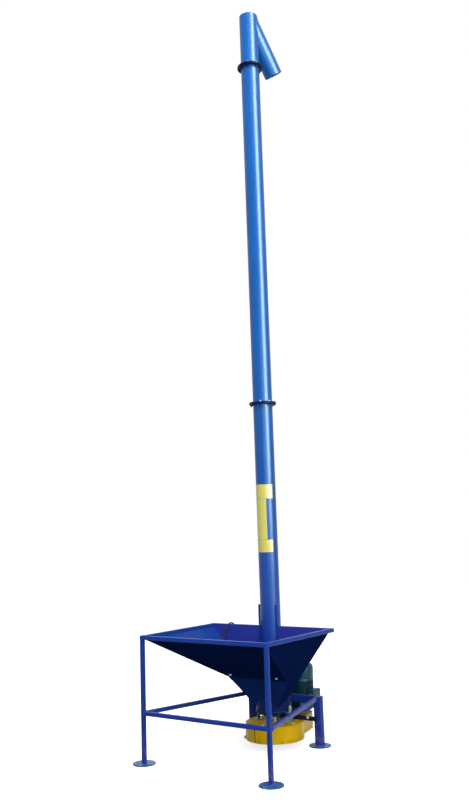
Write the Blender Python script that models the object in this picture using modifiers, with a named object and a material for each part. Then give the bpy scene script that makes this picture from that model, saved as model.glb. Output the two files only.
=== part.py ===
"""Vertical grain auger on a hopper frame, with its belt drive. Metres, +Z up.

The object is laid out around the auger shaft: X runs along the hopper's front edge, +Y from the hopper to
the motor. Everything hangs on one empty, which moves the layout so that the world's origin is on the floor
under the middle of the whole machine.
"""

import math

import bmesh
import bpy
import numpy as np
from mathutils import Matrix, Vector

# --- Driving dimensions -------------------------------------------------------------------------------

GAP = 0.0003  # between pieces that touch
FIT = 0.0004  # round a shaft or a tube that a ring sits on

RIM_WIDTH = 1.0  # hopper mouth over its rim bars, along X
RIM_DEPTH = 0.8  # the same along Y, from the front bar to the shaft's axis
RIM_HEIGHT = 0.8  # top of the rim bars
BAR = 0.025  # square tube of the rim, the front legs and the braces
BAR_WALL = 0.002
REAR_BAR = 0.05  # square tube of the rear legs
CROSSBAR_DEPTH = 0.04
CROSSBAR_HEIGHT = 0.05
REAR_WALL = 0.003
BRACE_TOP = 0.325  # top of the braces, the rear legs and the crossbar
REAR_LEG_X = 0.27
REAR_LEG_Y = 0.14
FOOT_RADIUS = 0.075
FOOT_THICK = 0.008

SHEET = 0.002  # hopper and funnel sheet
SEAM_Z = 0.4695  # where the hopper's panels end on the funnel
SEAM_HALF_X = 0.235
SEAM_FRONT_Y = -0.188
FUNNEL_SHEET = 0.0025
THROAT_HALF_X = 0.065  # inside of the funnel where it meets the boot's floor
THROAT_FRONT_Y = -0.072

BOOT_RADIUS = 0.122
BOOT_WALL = 0.003
BOOT_FLOOR_RADIUS = BOOT_RADIUS + 0.004  # a lip for the weld
BOOT_FLOOR_Z = 0.235  # underside of the floor
BOOT_FLOOR_THICK = 0.008
BOOT_TOP_Z = 0.32

TUBE_RADIUS = 0.06985
TUBE_WALL = 0.0032
TUBE_FOOT_Z = 0.3
INLET_TOP_Z = 0.42  # top of the window that lets grain reach the screw
LOWER_JOINT_Z = 2.357
UPPER_JOINT_Z = 4.955
HEAD_TOP_Z = 5.372
FLANGE_RADIUS = 0.0975
FLANGE_THICK = 0.007
CAP_THICK = 0.006

SPOUT_TURN = math.radians(75)  # from +X towards +Y
SPOUT_TILT = math.radians(33)  # from straight down
SPOUT_START_Z = 5.342  # where its axis crosses the tube's
SPOUT_LENGTH = 0.443
SPOUT_MOUTH_RADIUS = 0.058  # hole in the head tube

TIE_WIDTH = 0.0175  # flat bars that tie the tube to the back rim
TIE_THICK = 0.006
TIE_TOP_Z = 0.944
TIE_BOTTOM_Z = 0.33

SHAFT_RADIUS = 0.02
SHAFT_BOTTOM_Z = 0.078
SHAFT_TOP_Z = 5.367
FLIGHT_RADIUS = 0.0625
FLIGHT_THICK = 0.004
FLIGHT_PITCH = 0.125
FLIGHT_BOTTOM_Z = 0.256
FLIGHT_TURNS = 39
FLIGHT_STEPS = 14

BEARING_FLANGE = 0.13  # square flange of the bearing housings
BEARING_FLANGE_THICK = 0.014
BEARING_RADIUS = 0.04
BOSS_RADIUS = 0.047
BOSS_DEPTH = 0.024
BEARING_BOLT_SPACING = 0.102
BEARING_BOLT_HOLE = 0.0065

MOTOR_Y = 0.34
MOTOR_RADIUS = 0.1  # over the cooling fins
MOTOR_CORE_RADIUS = MOTOR_RADIUS - 0.018  # inside of the housing
MOTOR_BOTTOM_Z = 0.2063
MOTOR_TOP_Z = 0.4
SHIELD_HEIGHT = 0.018
FAN_COVER_TOP_Z = 0.502
FAN_COVER_RADIUS = MOTOR_RADIUS + 0.0015
FAN_COVER_WALL = 0.0015
MOTOR_SHAFT_RADIUS = 0.014
MOTOR_PLATE_THICK = 0.01
MOTOR_PLATE_HALF_X = MOTOR_RADIUS + 0.0035
MOTOR_PLATE_BACK_Y = MOTOR_Y + MOTOR_RADIUS + 0.005
BRACKET_THICK = 0.008
BRACKET_LENGTH = 0.15
TERMINAL_BOX = (0.042, 0.1, 0.065)  # out from the housing, along Y, along Z
TERMINAL_BOX_Z = 0.265  # its underside
GLAND_RADIUS = 0.0115
GLAND_LENGTH = 0.022

AUGER_PULLEY_RADIUS = 0.1575
MOTOR_PULLEY_RADIUS = 0.05625
PULLEY_WIDTH = 0.03
BELT_Z = 0.105  # middle of the belt
BELT_WIDTH = 0.017
BELT_DEPTH = 0.011
GROOVE_DEPTH = 0.014

GUARD_RADIUS = 0.198
GUARD_NECK_HALF = 0.12  # where the neck leaves the round end
GUARD_END_RADIUS = 0.085
GUARD_BOTTOM_Z = 0.054
GUARD_TOP_Z = 0.164
GUARD_SHEET = 0.002
GUARD_SEAM = 0.008  # open seam in the skirt, beside the left rear leg
GUARD_SEAM_TURN = math.radians(226)
HANGER_HEIGHT = 0.03
HANGER_THICK = 0.005
STRAP_TOP_Z = 0.275
STRAP_WIDTH = 0.03
STRAP_THICK = 0.004
STRAP_FOOT = 0.025

CABLE_RADIUS = 0.005
PLUG_RADIUS = 0.028
PLUG_LENGTH = 0.125

# The supply cable's route: from the motor's gland across the left bracket, up behind the hopper, over the
# back rim and down the left sheet to the plug. Points in the layout's own axes.
CABLE_ROUTE = (
    (0.1213, 0.2677, 0.2975),
    (0.1211, 0.2560, 0.2973),
    (0.1172, 0.2405, 0.2960),
    (0.1078, 0.2265, 0.2935),
    (0.0929, 0.2168, 0.2900),
    (0.0753, 0.2135, 0.2860),
    (0.0430, 0.2130, 0.2790),
    (0.0050, 0.2135, 0.2715),
    (-0.0330, 0.2150, 0.2655),
    (-0.0700, 0.2175, 0.2603),
    (-0.1080, 0.2210, 0.2565),
    (-0.1500, 0.2200, 0.2558),
    (-0.1950, 0.2140, 0.2590),
    (-0.2380, 0.2020, 0.2710),
    (-0.2700, 0.1870, 0.2960),
    (-0.2930, 0.1710, 0.3330),
    (-0.3080, 0.1510, 0.3850),
    (-0.3180, 0.1270, 0.4500),
    (-0.3240, 0.1020, 0.5200),
    (-0.3275, 0.0800, 0.5900),
    (-0.3300, 0.0595, 0.6600),
    (-0.3310, 0.0430, 0.7180),
    (-0.3320, 0.0338, 0.7621),
    (-0.3326, 0.0262, 0.7853),
    (-0.3337, 0.0103, 0.8015),
    (-0.3355, -0.0125, 0.8076),
    (-0.3380, -0.0353, 0.8015),
    (-0.3417, -0.0519, 0.7849),
    (-0.3465, -0.0597, 0.7625),
    (-0.3560, -0.0700, 0.7300),
    (-0.3650, -0.0850, 0.6960),
    (-0.3680, -0.1080, 0.6640),
    (-0.3553, -0.1380, 0.6340),
    (-0.3335, -0.1720, 0.6060),
    (-0.3080, -0.2070, 0.5820),
    (-0.2790, -0.2400, 0.5660),
    (-0.2470, -0.2680, 0.5590),
    (-0.2130, -0.2920, 0.5600),
    (-0.1760, -0.3051, 0.5630),
    (-0.1400, -0.3080, 0.5646),
)
PLUG_DIRECTION = (1.0, -0.08, 0.044)

# --- What follows from them ---------------------------------------------------------------------------

FRONT_Y = -RIM_DEPTH
HALF_WIDTH = RIM_WIDTH / 2
FRONT_LEG_X = HALF_WIDTH - BAR / 2
FRONT_LEG_Y = FRONT_Y + BAR / 2
PANEL_TOP_Z = RIM_HEIGHT - BAR - GAP
BACK_FACE_Y = -BAR - GAP - SHEET  # inside of the back sheets, which lap the front of the back rim bars
SHELF_Z = BOOT_FLOOR_Z + BOOT_FLOOR_THICK
CROSSBAR_FRONT_Y = BOOT_RADIUS + GAP
REACH_FRONT = FRONT_LEG_Y - FOOT_RADIUS
REACH_BACK = max(MOTOR_PLATE_BACK_Y, MOTOR_Y + FAN_COVER_RADIUS)
ORIGIN_Y = -(REACH_FRONT + REACH_BACK) / 2

STEEL_BLUE = (0.010, 0.075, 0.34)
NAVY = (0.006, 0.012, 0.075)


def funnel_x(z):
    """Half width inside the funnel at a height."""
    share = (z - SHELF_Z) / (SEAM_Z - SHELF_Z)
    return THROAT_HALF_X + (SEAM_HALF_X - THROAT_HALF_X) * share


def funnel_y(z):
    """Inside of the funnel's front wall at a height."""
    share = (z - SHELF_Z) / (SEAM_Z - SHELF_Z)
    return THROAT_FRONT_Y + (SEAM_FRONT_Y - THROAT_FRONT_Y) * share


# --- Scene --------------------------------------------------------------------------------------------

for leftover in list(bpy.data.objects):
    bpy.data.objects.remove(leftover, do_unlink=True)

parts = bpy.data.collections.new("grain_auger")
cutters = bpy.data.collections.new("cutters")
bpy.context.scene.collection.children.link(parts)
bpy.context.scene.collection.children.link(cutters)

layout = bpy.data.objects.new("layout_origin", None)
layout.location = (0, ORIGIN_Y, 0)
parts.objects.link(layout)


def paint(name, colour, metallic=0.0, roughness=0.45):
    """A Principled material of the piece's own."""
    made = bpy.data.materials.new(name)
    made.use_nodes = True
    shader = made.node_tree.nodes["Principled BSDF"]
    shader.inputs["Base Color"].default_value = (*colour, 1)
    shader.inputs["Metallic"].default_value = metallic
    shader.inputs["Roughness"].default_value = roughness
    return made


def add(name, data, location=(0, 0, 0), finish=None):
    """Puts a mesh or a curve in the parts collection, under the layout's empty."""
    made = bpy.data.objects.new(name, data)
    made.location = location
    made.parent = layout
    parts.objects.link(made)
    if finish:
        data.materials.append(paint(name, *finish))
    return made


def as_cutter(obj):
    parts.objects.unlink(obj)
    cutters.objects.link(obj)
    obj.hide_render = True
    obj.display_type = "WIRE"
    return obj


def combine(obj, other, operation):
    """A Boolean with a helper object, kept as a modifier."""
    modifier = obj.modifiers.new(operation.lower() + "_" + other.name, "BOOLEAN")
    modifier.operation = operation
    modifier.solver = "EXACT"
    modifier.object = as_cutter(other)
    return obj


def smooth(mesh, degrees=40):
    mesh.shade_smooth()
    mesh.set_sharp_from_angle(angle=math.radians(degrees))


def box(name, low, high, finish=None):
    """A block between two corners, with its origin in its middle."""
    low, high = Vector(low), Vector(high)
    bm = bmesh.new()
    bmesh.ops.create_cube(bm, size=1)
    bmesh.ops.scale(bm, vec=high - low, verts=bm.verts)
    mesh = bpy.data.meshes.new(name)
    bm.to_mesh(mesh)
    bm.free()
    return add(name, mesh, (low + high) / 2, finish)


def bar_tube(name, start, end, width, height, wall, finish):
    """A length of box section, open at both ends, on the line from start to end."""
    start, end = Vector(start), Vector(end)
    along = end - start
    bm = bmesh.new()
    bmesh.ops.create_cube(bm, size=1)
    ends = [face for face in bm.faces if abs(face.normal.z) > 0.5]
    bmesh.ops.delete(bm, geom=ends, context="FACES_ONLY")
    bmesh.ops.scale(bm, vec=(width, height, along.length), verts=bm.verts)
    mesh = bpy.data.meshes.new(name)
    bm.to_mesh(mesh)
    bm.free()
    made = add(name, mesh, (start + end) / 2, finish)
    along.normalize()
    if abs(along.z) < 0.999:
        side = Vector((0, 0, 1)).cross(along).normalized()
        made.rotation_euler = Matrix((side, along.cross(side), along)).transposed().to_euler()
    shell = made.modifiers.new("wall", "SOLIDIFY")
    shell.thickness = wall
    shell.offset = -1
    shell.use_even_offset = True
    return made


def slab(name, inside, outside, finish=None):
    """A solid between two four-cornered faces given corner for corner."""
    corners = [Vector(corner) for corner in (*inside, *outside)]
    sides = [(i, (i + 1) % 4, (i + 1) % 4 + 4, i + 4) for i in range(4)]
    mesh = bpy.data.meshes.new(name)
    mesh.from_pydata(corners, [], [(3, 2, 1, 0), (4, 5, 6, 7), *sides])
    bm = bmesh.new()
    bm.from_mesh(mesh)
    bmesh.ops.recalc_face_normals(bm, faces=bm.faces)
    bm.to_mesh(mesh)
    bm.free()
    return add(name, mesh, (0, 0, 0), finish)


def turned(name, profile, location=(0, 0, 0), finish=None, steps=32):
    """A turned piece: (radius, height) points round the Z axis, closed on the axis or as a loop."""
    points = [Vector((radius, 0, height)) for radius, height in profile]
    on_axis = profile[0][0] == 0
    area = sum(
        a[0] * b[1] - b[0] * a[1] for a, b in zip(profile, profile[1:] + profile[:1], strict=True)
    )
    if area > 0:
        points.reverse()
    count = len(points)
    edges = [(i, i + 1) for i in range(count - 1)]
    if not on_axis:
        edges.append((count - 1, 0))
    mesh = bpy.data.meshes.new(name)
    mesh.from_pydata(points, edges, [])
    made = add(name, mesh, location, finish)
    screw = made.modifiers.new("turn", "SCREW")
    screw.steps = steps
    screw.render_steps = steps
    screw.use_merge_vertices = True
    screw.merge_threshold = 0.00001
    screw.use_smooth_shade = False
    return made


def ring(name, inner, outer, bottom, top, location=(0, 0, 0), finish=None, steps=32):
    profile = [(outer, top), (outer, bottom), (inner, bottom), (inner, top)]
    return turned(name, profile, location, finish, steps)


def disc(name, radius, bottom, top, location=(0, 0, 0), finish=None, steps=32):
    return turned(name, [(0, top), (radius, top), (radius, bottom), (0, bottom)], location, finish, steps)


def outline_plate(name, outlines, bottom, top, location, finish):
    """A flat piece from closed outlines, the first outside and the others holes."""
    curve = bpy.data.curves.new(name, "CURVE")
    curve.dimensions = "2D"
    curve.fill_mode = "BOTH"
    curve.extrude = (top - bottom) / 2
    for points in outlines:
        spline = curve.splines.new("POLY")
        spline.points.add(len(points) - 1)
        for point, (x, y) in zip(spline.points, points, strict=True):
            point.co = (x, y, 0, 1)
        spline.use_cyclic_u = True
    x, y = location
    return add(name, curve, (x, y, (top + bottom) / 2), finish)


def arc(centre, radius, start, end, count):
    """Points on an arc, from one angle to another."""
    turns = np.linspace(start, end, count)
    return [(centre[0] + radius * math.cos(t), centre[1] + radius * math.sin(t)) for t in turns]


def as_mesh(obj):
    """Replaces a curve by its mesh, with its caps welded."""
    bpy.context.view_layer.update()
    evaluated = obj.evaluated_get(bpy.context.evaluated_depsgraph_get())
    mesh = bpy.data.meshes.new_from_object(evaluated)
    bm = bmesh.new()
    bm.from_mesh(mesh)
    bmesh.ops.remove_doubles(bm, verts=bm.verts, dist=1e-6)
    bm.to_mesh(mesh)
    bm.free()
    name = obj.name
    matrix = obj.matrix_local.copy()
    bpy.data.objects.remove(obj)
    made = add(name, mesh)
    made.matrix_local = matrix
    return made


# --- Lower frame: legs, feet, braces ------------------------------------------------------------------

LEG_FINISH = (STEEL_BLUE, 0.0, 0.4)
leg_foot_z = FOOT_THICK + GAP
for side, sign in (("left", -1), ("right", 1)):
    front = (sign * FRONT_LEG_X, FRONT_LEG_Y)
    rear = (sign * REAR_LEG_X, REAR_LEG_Y)
    top = (*front, PANEL_TOP_Z)
    bar_tube(f"leg_front_{side}", (*front, leg_foot_z), top, BAR, BAR, BAR_WALL, LEG_FINISH)
    top = (*rear, BRACE_TOP)
    bar_tube(f"leg_rear_{side}", (*rear, leg_foot_z), top, REAR_BAR, REAR_BAR, REAR_WALL, LEG_FINISH)
    disc(f"foot_front_{side}", FOOT_RADIUS, 0, FOOT_THICK, (*front, 0), LEG_FINISH, 24)
    disc(f"foot_rear_{side}", FOOT_RADIUS, 0, FOOT_THICK, (*rear, 0), LEG_FINISH, 24)

brace_z = BRACE_TOP - BAR / 2
brace_end_x = FRONT_LEG_X - BAR / 2 - GAP
end = (brace_end_x, FRONT_LEG_Y, brace_z)
bar_tube("brace_front", (-brace_end_x, FRONT_LEG_Y, brace_z), end, BAR, BAR, BAR_WALL, LEG_FINISH)

# Each side brace runs from the back of a front leg to the front of the rear leg on its side. Its square
# ends are held off the legs by the corner that leads.
for side, sign in (("left", -1), ("right", 1)):
    start = Vector((sign * FRONT_LEG_X, FRONT_LEG_Y + BAR / 2, brace_z))
    end = Vector((sign * REAR_LEG_X, REAR_LEG_Y - REAR_BAR / 2, brace_z))
    along = (end - start).normalized()
    corner = abs(along.x) / along.y * BAR / 2 + GAP / along.y
    bar_tube(f"brace_{side}", start + along * corner, end - along * corner, BAR, BAR, BAR_WALL, LEG_FINISH)

crossbar_x = REAR_LEG_X - REAR_BAR / 2 - GAP
crossbar_y = CROSSBAR_FRONT_Y + CROSSBAR_DEPTH / 2
crossbar_z = BRACE_TOP - CROSSBAR_HEIGHT / 2
bar_tube(
    "rear_crossbar",
    (-crossbar_x, crossbar_y, crossbar_z),
    (crossbar_x, crossbar_y, crossbar_z),
    CROSSBAR_DEPTH,
    CROSSBAR_HEIGHT,
    REAR_WALL,
    LEG_FINISH,
)

# --- Hopper: rim bars, four upper sheets, lower funnel -------------------------------------------------

RIM_FINISH = (STEEL_BLUE, 0.0, 0.38)
rim_z = RIM_HEIGHT - BAR / 2
side_bar_x = HALF_WIDTH - BAR / 2
rim_y = FRONT_Y + BAR / 2
bar_tube("rim_front", (-HALF_WIDTH, rim_y, rim_z), (HALF_WIDTH, rim_y, rim_z), BAR, BAR, BAR_WALL, RIM_FINISH)
for side, sign in (("left", -1), ("right", 1)):
    start, end = (sign * side_bar_x, FRONT_Y + BAR + GAP, rim_z), (sign * side_bar_x, -BAR - GAP, rim_z)
    bar_tube(f"rim_{side}", start, end, BAR, BAR, BAR_WALL, RIM_FINISH)
    start, end = (sign * HALF_WIDTH, -BAR / 2, rim_z), (sign * (TUBE_RADIUS + FIT), -BAR / 2, rim_z)
    bar_tube(f"rim_back_{side}", start, end, BAR, BAR, BAR_WALL, RIM_FINISH)

# The sheets' ends are cut level, so a slope makes a sheet that much thicker measured along X or Y. Their
# outer faces pass just inside the rim bars.
SHEET_FINISH = (NAVY, 0.0, 0.5)
rise = PANEL_TOP_Z - SEAM_Z
side_level = SHEET * math.hypot(1, (HALF_WIDTH - BAR - SEAM_HALF_X) / rise)
front_level = SHEET * math.hypot(1, (SEAM_FRONT_Y - FRONT_Y - BAR) / rise)
top_x = HALF_WIDTH - BAR - GAP - side_level
top_y = FRONT_Y + BAR + GAP + front_level
seam_top = SEAM_Z + GAP


def front_wall(name, half_top, y_top, z_top, half_foot, y_foot, z_foot, level, finish):
    """A front wall that spans the side walls' outer faces, kept off their front edges."""
    inside = [
        (-half_top, y_top, z_top),
        (half_top, y_top, z_top),
        (half_foot, y_foot, z_foot),
        (-half_foot, y_foot, z_foot),
    ]
    outside = [(x, y - level, z) for x, y, z in inside]
    return slab(name, inside, outside, finish)


def side_wall(name, sign, top, foot, level, finish):
    """A side wall from the back face to the front wall; top and foot are (half width, front y, z)."""
    inside = [
        (sign * top[0], top[1] + GAP, top[2]),
        (sign * top[0], BACK_FACE_Y - GAP, top[2]),
        (sign * foot[0], BACK_FACE_Y - GAP, foot[2]),
        (sign * foot[0], foot[1] + GAP, foot[2]),
    ]
    outside = [(x + sign * level, y, z) for x, y, z in inside]
    return slab(name, inside, outside, finish)


front_wall(
    "hopper_front_sheet",
    top_x + side_level,
    top_y,
    PANEL_TOP_Z,
    SEAM_HALF_X + side_level,
    SEAM_FRONT_Y,
    seam_top,
    front_level,
    SHEET_FINISH,
)
for side, sign in (("left", -1), ("right", 1)):
    top, foot = (top_x, top_y, PANEL_TOP_Z), (SEAM_HALF_X, SEAM_FRONT_Y, seam_top)
    side_wall(f"hopper_{side}_sheet", sign, top, foot, side_level, SHEET_FINISH)

# The lower funnel is one piece: a front wall and two side walls, which are joined to it.
funnel_foot_z = SHELF_Z + GAP
funnel_top_z = SEAM_Z - GAP
funnel_slope = (SEAM_HALF_X - THROAT_HALF_X) / (SEAM_Z - SHELF_Z)
funnel_level = FUNNEL_SHEET * math.hypot(1, funnel_slope)
top = (SEAM_HALF_X, SEAM_FRONT_Y, funnel_top_z)
foot = (THROAT_HALF_X, THROAT_FRONT_Y, funnel_foot_z)


def funnel_walls(corner_y):
    """The funnel's outline at each level, from the left back corner round the front to the right one."""
    rows = []
    for half, y, z in (top, foot):
        inside = [(-half, corner_y, z), (-half, y, z), (half, y, z), (half, corner_y, z)]
        wide = half + funnel_level
        outer_y = y - FUNNEL_SHEET
        outside = [(-wide, corner_y, z), (-wide, outer_y, z), (wide, outer_y, z), (wide, corner_y, z)]
        rows.append(inside + outside)
    return rows


def funnel_mesh(name):
    high, low = funnel_walls(BACK_FACE_Y - GAP)
    faces = []
    for i in range(3):
        faces.append((i, i + 1, i + 9, i + 8))
        faces.append((i + 4, i + 12, i + 13, i + 5))
        faces.append((i, i + 4, i + 5, i + 1))
        faces.append((i + 8, i + 9, i + 13, i + 12))
    faces += [(0, 8, 12, 4), (3, 7, 15, 11)]
    mesh = bpy.data.meshes.new(name)
    mesh.from_pydata([Vector(corner) for corner in high + low], [], faces)
    bm = bmesh.new()
    bm.from_mesh(mesh)
    bmesh.ops.recalc_face_normals(bm, faces=bm.faces)
    bm.to_mesh(mesh)
    bm.free()
    return mesh


add("lower_funnel", funnel_mesh("lower_funnel"), (0, 0, 0), SHEET_FINISH)

# The back sheets stand upright on both sides of the tube, from the rim to the boot's top ring.
back_foot_z = BOOT_TOP_Z + GAP
back_z = (PANEL_TOP_Z + BAR - 0.004, PANEL_TOP_Z, SEAM_Z, back_foot_z)
edge_x = math.sqrt(TUBE_RADIUS**2 - (BACK_FACE_Y + SHEET) ** 2) + FIT
back_x = (
    HALF_WIDTH - BAR - GAP,
    HALF_WIDTH - BAR - GAP,
    SEAM_HALF_X + side_level,
    funnel_x(back_foot_z) + funnel_level,
)
for side, sign in (("left", -1), ("right", 1)):
    outline = [(sign * edge_x, back_foot_z), (sign * edge_x, back_z[0])]
    outline += [(sign * x, z) for x, z in zip(back_x, back_z, strict=True)]
    back = outline_plate(f"hopper_back_sheet_{side}", [outline], 0, SHEET, (0, 0), SHEET_FINISH)
    back.rotation_euler = (math.radians(90), 0, 0)
    back.location = (0, BACK_FACE_Y + SHEET / 2, 0)

# --- Boot: round pan under the auger's foot, opened where the funnel enters ----------------------------

ring("boot_floor", SHAFT_RADIUS + FIT, BOOT_FLOOR_RADIUS, BOOT_FLOOR_Z, SHELF_Z, finish=LEG_FINISH, steps=40)
boot = turned(
    "boot",
    [
        (BOOT_RADIUS, SHELF_Z + GAP),
        (BOOT_RADIUS, BOOT_TOP_Z),
        (TUBE_RADIUS + FIT, BOOT_TOP_Z),
        (TUBE_RADIUS + FIT, BOOT_TOP_Z - BOOT_WALL),
        (BOOT_RADIUS - BOOT_WALL, BOOT_TOP_Z - BOOT_WALL),
        (BOOT_RADIUS - BOOT_WALL, SHELF_Z + GAP),
    ],
    finish=LEG_FINISH,
    steps=40,
)
entry_z = (SHELF_Z - 0.01, BOOT_TOP_Z + 0.02)
entry = [(funnel_x(z) + funnel_level + FIT, funnel_y(z) - FUNNEL_SHEET - FIT * 2, z) for z in entry_z]
entry_corners = []
for half, y, z in entry:
    entry_corners.append([(-half, BACK_FACE_Y, z), (-half, y, z), (half, y, z), (half, BACK_FACE_Y, z)])
combine(boot, slab("boot_entry", *entry_corners), "DIFFERENCE")

# --- Auger tube: two lengths with flanged joints, the head and its spout --------------------------------

# Flat bars up both sides of the tube, lapping the front of the back sheets.
tie_y = BACK_FACE_Y - GAP
tie_inner_x = math.sqrt(TUBE_RADIUS**2 - tie_y**2) + FIT
for side, sign in (("left", -1), ("right", 1)):
    xs = sorted((sign * tie_inner_x, sign * (tie_inner_x + TIE_WIDTH)))
    box(
        f"tube_tie_bar_{side}",
        (xs[0], tie_y - TIE_THICK, TIE_BOTTOM_Z),
        (xs[1], tie_y, TIE_TOP_Z),
        (STEEL_BLUE, 0.0, 0.35),
    )

TUBE_FINISH = (STEEL_BLUE, 0.0, 0.32)
FLANGE_FINISH = (NAVY, 0.0, 0.4)
inner_radius = TUBE_RADIUS - TUBE_WALL
lower_tube = ring(
    "lower_tube", inner_radius, TUBE_RADIUS, TUBE_FOOT_Z, LOWER_JOINT_Z - GAP / 2, finish=TUBE_FINISH
)
inlet = box(
    "inlet_window",
    (-TUBE_RADIUS - 0.01, -TUBE_RADIUS - 0.01, TUBE_FOOT_Z - 0.01),
    (TUBE_RADIUS + 0.01, tie_y - TIE_THICK, INLET_TOP_Z),
)
combine(lower_tube, inlet, "DIFFERENCE")
ring(
    "upper_tube",
    inner_radius,
    TUBE_RADIUS,
    LOWER_JOINT_Z + GAP / 2,
    UPPER_JOINT_Z - GAP / 2,
    finish=TUBE_FINISH,
)

for joint_z, below, above in (
    (LOWER_JOINT_Z, "lower_tube_top_flange", "upper_tube_foot_flange"),
    (UPPER_JOINT_Z, "upper_tube_top_flange", "head_foot_flange"),
):
    edge = joint_z - GAP / 2
    ring(below, TUBE_RADIUS + FIT, FLANGE_RADIUS, edge - FLANGE_THICK, edge, finish=FLANGE_FINISH)
    edge = joint_z + GAP / 2
    ring(above, TUBE_RADIUS + FIT, FLANGE_RADIUS, edge, edge + FLANGE_THICK, finish=FLANGE_FINISH)

spout_way = Vector(
    (
        math.sin(SPOUT_TILT) * math.cos(SPOUT_TURN),
        math.sin(SPOUT_TILT) * math.sin(SPOUT_TURN),
        -math.cos(SPOUT_TILT),
    )
)
spout_turn = Vector((0, 0, 1)).rotation_difference(spout_way).to_euler()
spout_start = Vector((0, 0, SPOUT_START_Z))

head_tube = ring(
    "head_tube", inner_radius, TUBE_RADIUS, UPPER_JOINT_Z + GAP / 2, HEAD_TOP_Z, finish=TUBE_FINISH
)
mouth = disc("spout_mouth", SPOUT_MOUTH_RADIUS, 0, SPOUT_LENGTH, spout_start)
mouth.rotation_euler = spout_turn
combine(head_tube, mouth, "DIFFERENCE")

spout = ring("discharge_spout", inner_radius, TUBE_RADIUS, 0, SPOUT_LENGTH, spout_start, TUBE_FINISH)
spout.rotation_euler = spout_turn
head_clearance = disc("head_clearance", TUBE_RADIUS + FIT, UPPER_JOINT_Z, HEAD_TOP_Z + 0.1, steps=48)
combine(spout, head_clearance, "DIFFERENCE")

disc("head_cap", TUBE_RADIUS, HEAD_TOP_Z + GAP, HEAD_TOP_Z + CAP_THICK, finish=FLANGE_FINISH)
bearing_finish = ((0.08, 0.09, 0.09), 0.6, 0.45)
ring("upper_bearing", SHAFT_RADIUS + FIT, 0.045, HEAD_TOP_Z - 0.034, HEAD_TOP_Z, finish=bearing_finish)

# --- Screw: shaft, flighting and the bearing that carries them ------------------------------------------

shaft_finish = ((0.35, 0.35, 0.36), 1.0, 0.35)
disc("auger_shaft", SHAFT_RADIUS, SHAFT_BOTTOM_Z, SHAFT_TOP_Z, finish=shaft_finish, steps=24)


def flighting(name, finish):
    """A ribbon wound up the shaft: a thin rectangle on a Screw with a pitch, with its ends closed."""
    inner = (SHAFT_RADIUS + FIT) / math.cos(math.pi / FLIGHT_STEPS)
    half = FLIGHT_THICK / 2
    corners = [(inner, half), (FLIGHT_RADIUS, half), (FLIGHT_RADIUS, -half), (inner, -half)]
    mesh = bpy.data.meshes.new(name)
    mesh.from_pydata([Vector((x, 0, z)) for x, z in corners], [(0, 1), (1, 2), (2, 3), (3, 0)], [])
    made = add(name, mesh, (0, 0, FLIGHT_BOTTOM_Z))
    screw = made.modifiers.new("turns", "SCREW")
    screw.steps = FLIGHT_STEPS
    screw.render_steps = FLIGHT_STEPS
    screw.screw_offset = FLIGHT_PITCH
    screw.iterations = FLIGHT_TURNS
    made = as_mesh(made)
    bm = bmesh.new()
    bm.from_mesh(made.data)
    bmesh.ops.holes_fill(bm, edges=[edge for edge in bm.edges if edge.is_boundary])
    bmesh.ops.recalc_face_normals(bm, faces=bm.faces)
    bm.to_mesh(made.data)
    bm.free()
    made.data.materials.append(paint(name, *finish))
    return made


flighting("auger_flighting", ((0.32, 0.33, 0.35), 1.0, 0.4))


def bearing_housing(name, top, finish):
    """A square-flanged housing with a round boss below, bored for the bearing and drilled for four bolts."""
    half = BEARING_FLANGE / 2
    flange_foot = top - BEARING_FLANGE_THICK
    made = box(name, (-half, -half, flange_foot), (half, half, top), finish)
    boss = disc(name + "_boss", BOSS_RADIUS, flange_foot - BOSS_DEPTH, flange_foot + 0.004)
    bore = disc(name + "_bore", BEARING_RADIUS, flange_foot - BOSS_DEPTH - 0.01, top + 0.01)
    combine(made, boss, "UNION")
    combine(made, bore, "DIFFERENCE")
    reach = BEARING_BOLT_SPACING / 2
    for x, y in ((-reach, -reach), (reach, -reach), (-reach, reach), (reach, reach)):
        hole = disc(name + "_hole", BEARING_BOLT_HOLE, flange_foot - 0.01, top + 0.01, (x, y, 0), steps=12)
        combine(made, hole, "DIFFERENCE")
    return made


bearing_top = BOOT_FLOOR_Z - GAP
bearing_housing("lower_bearing_housing", bearing_top, ((0.02, 0.12, 0.28), 0.3, 0.45))
bearing_foot = bearing_top - BEARING_FLANGE_THICK - BOSS_DEPTH
ring(
    "lower_bearing", SHAFT_RADIUS + FIT, BEARING_RADIUS - FIT, bearing_foot + 0.002, bearing_top - 0.002,
    finish=((0.5, 0.5, 0.5), 1.0, 0.25),
)

# --- Motor, standing on a bracket behind the crossbar ---------------------------------------------------

MOTOR_FINISH = ((0.012, 0.13, 0.15), 0.2, 0.5)
motor_at = (0, MOTOR_Y, 0)
plate_top = MOTOR_BOTTOM_Z - GAP
plate_foot = plate_top - MOTOR_PLATE_THICK
bracket_front = CROSSBAR_FRONT_Y + CROSSBAR_DEPTH + GAP
half_x = MOTOR_PLATE_HALF_X
plate_outline = [
    (-half_x, bracket_front),
    (half_x, bracket_front),
    (half_x, MOTOR_PLATE_BACK_Y),
    (-half_x, MOTOR_PLATE_BACK_Y),
]
shaft_way = arc((0, MOTOR_Y), MOTOR_SHAFT_RADIUS + 0.004, 0, 2 * math.pi * 19 / 20, 20)
plate = outline_plate("motor_bracket", [plate_outline, shaft_way], plate_foot, plate_top, (0, 0), LEG_FINISH)
plate = as_mesh(plate)
bracket_outline = [
    (bracket_front, plate_foot - 0.001),
    (bracket_front + BRACKET_LENGTH, plate_foot - 0.001),
    (bracket_front + BRACKET_LENGTH, plate_top + 0.002),
    (bracket_front + 0.042, 0.258),
    (bracket_front + 0.014, 0.318),
    (bracket_front, 0.318),
]
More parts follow.
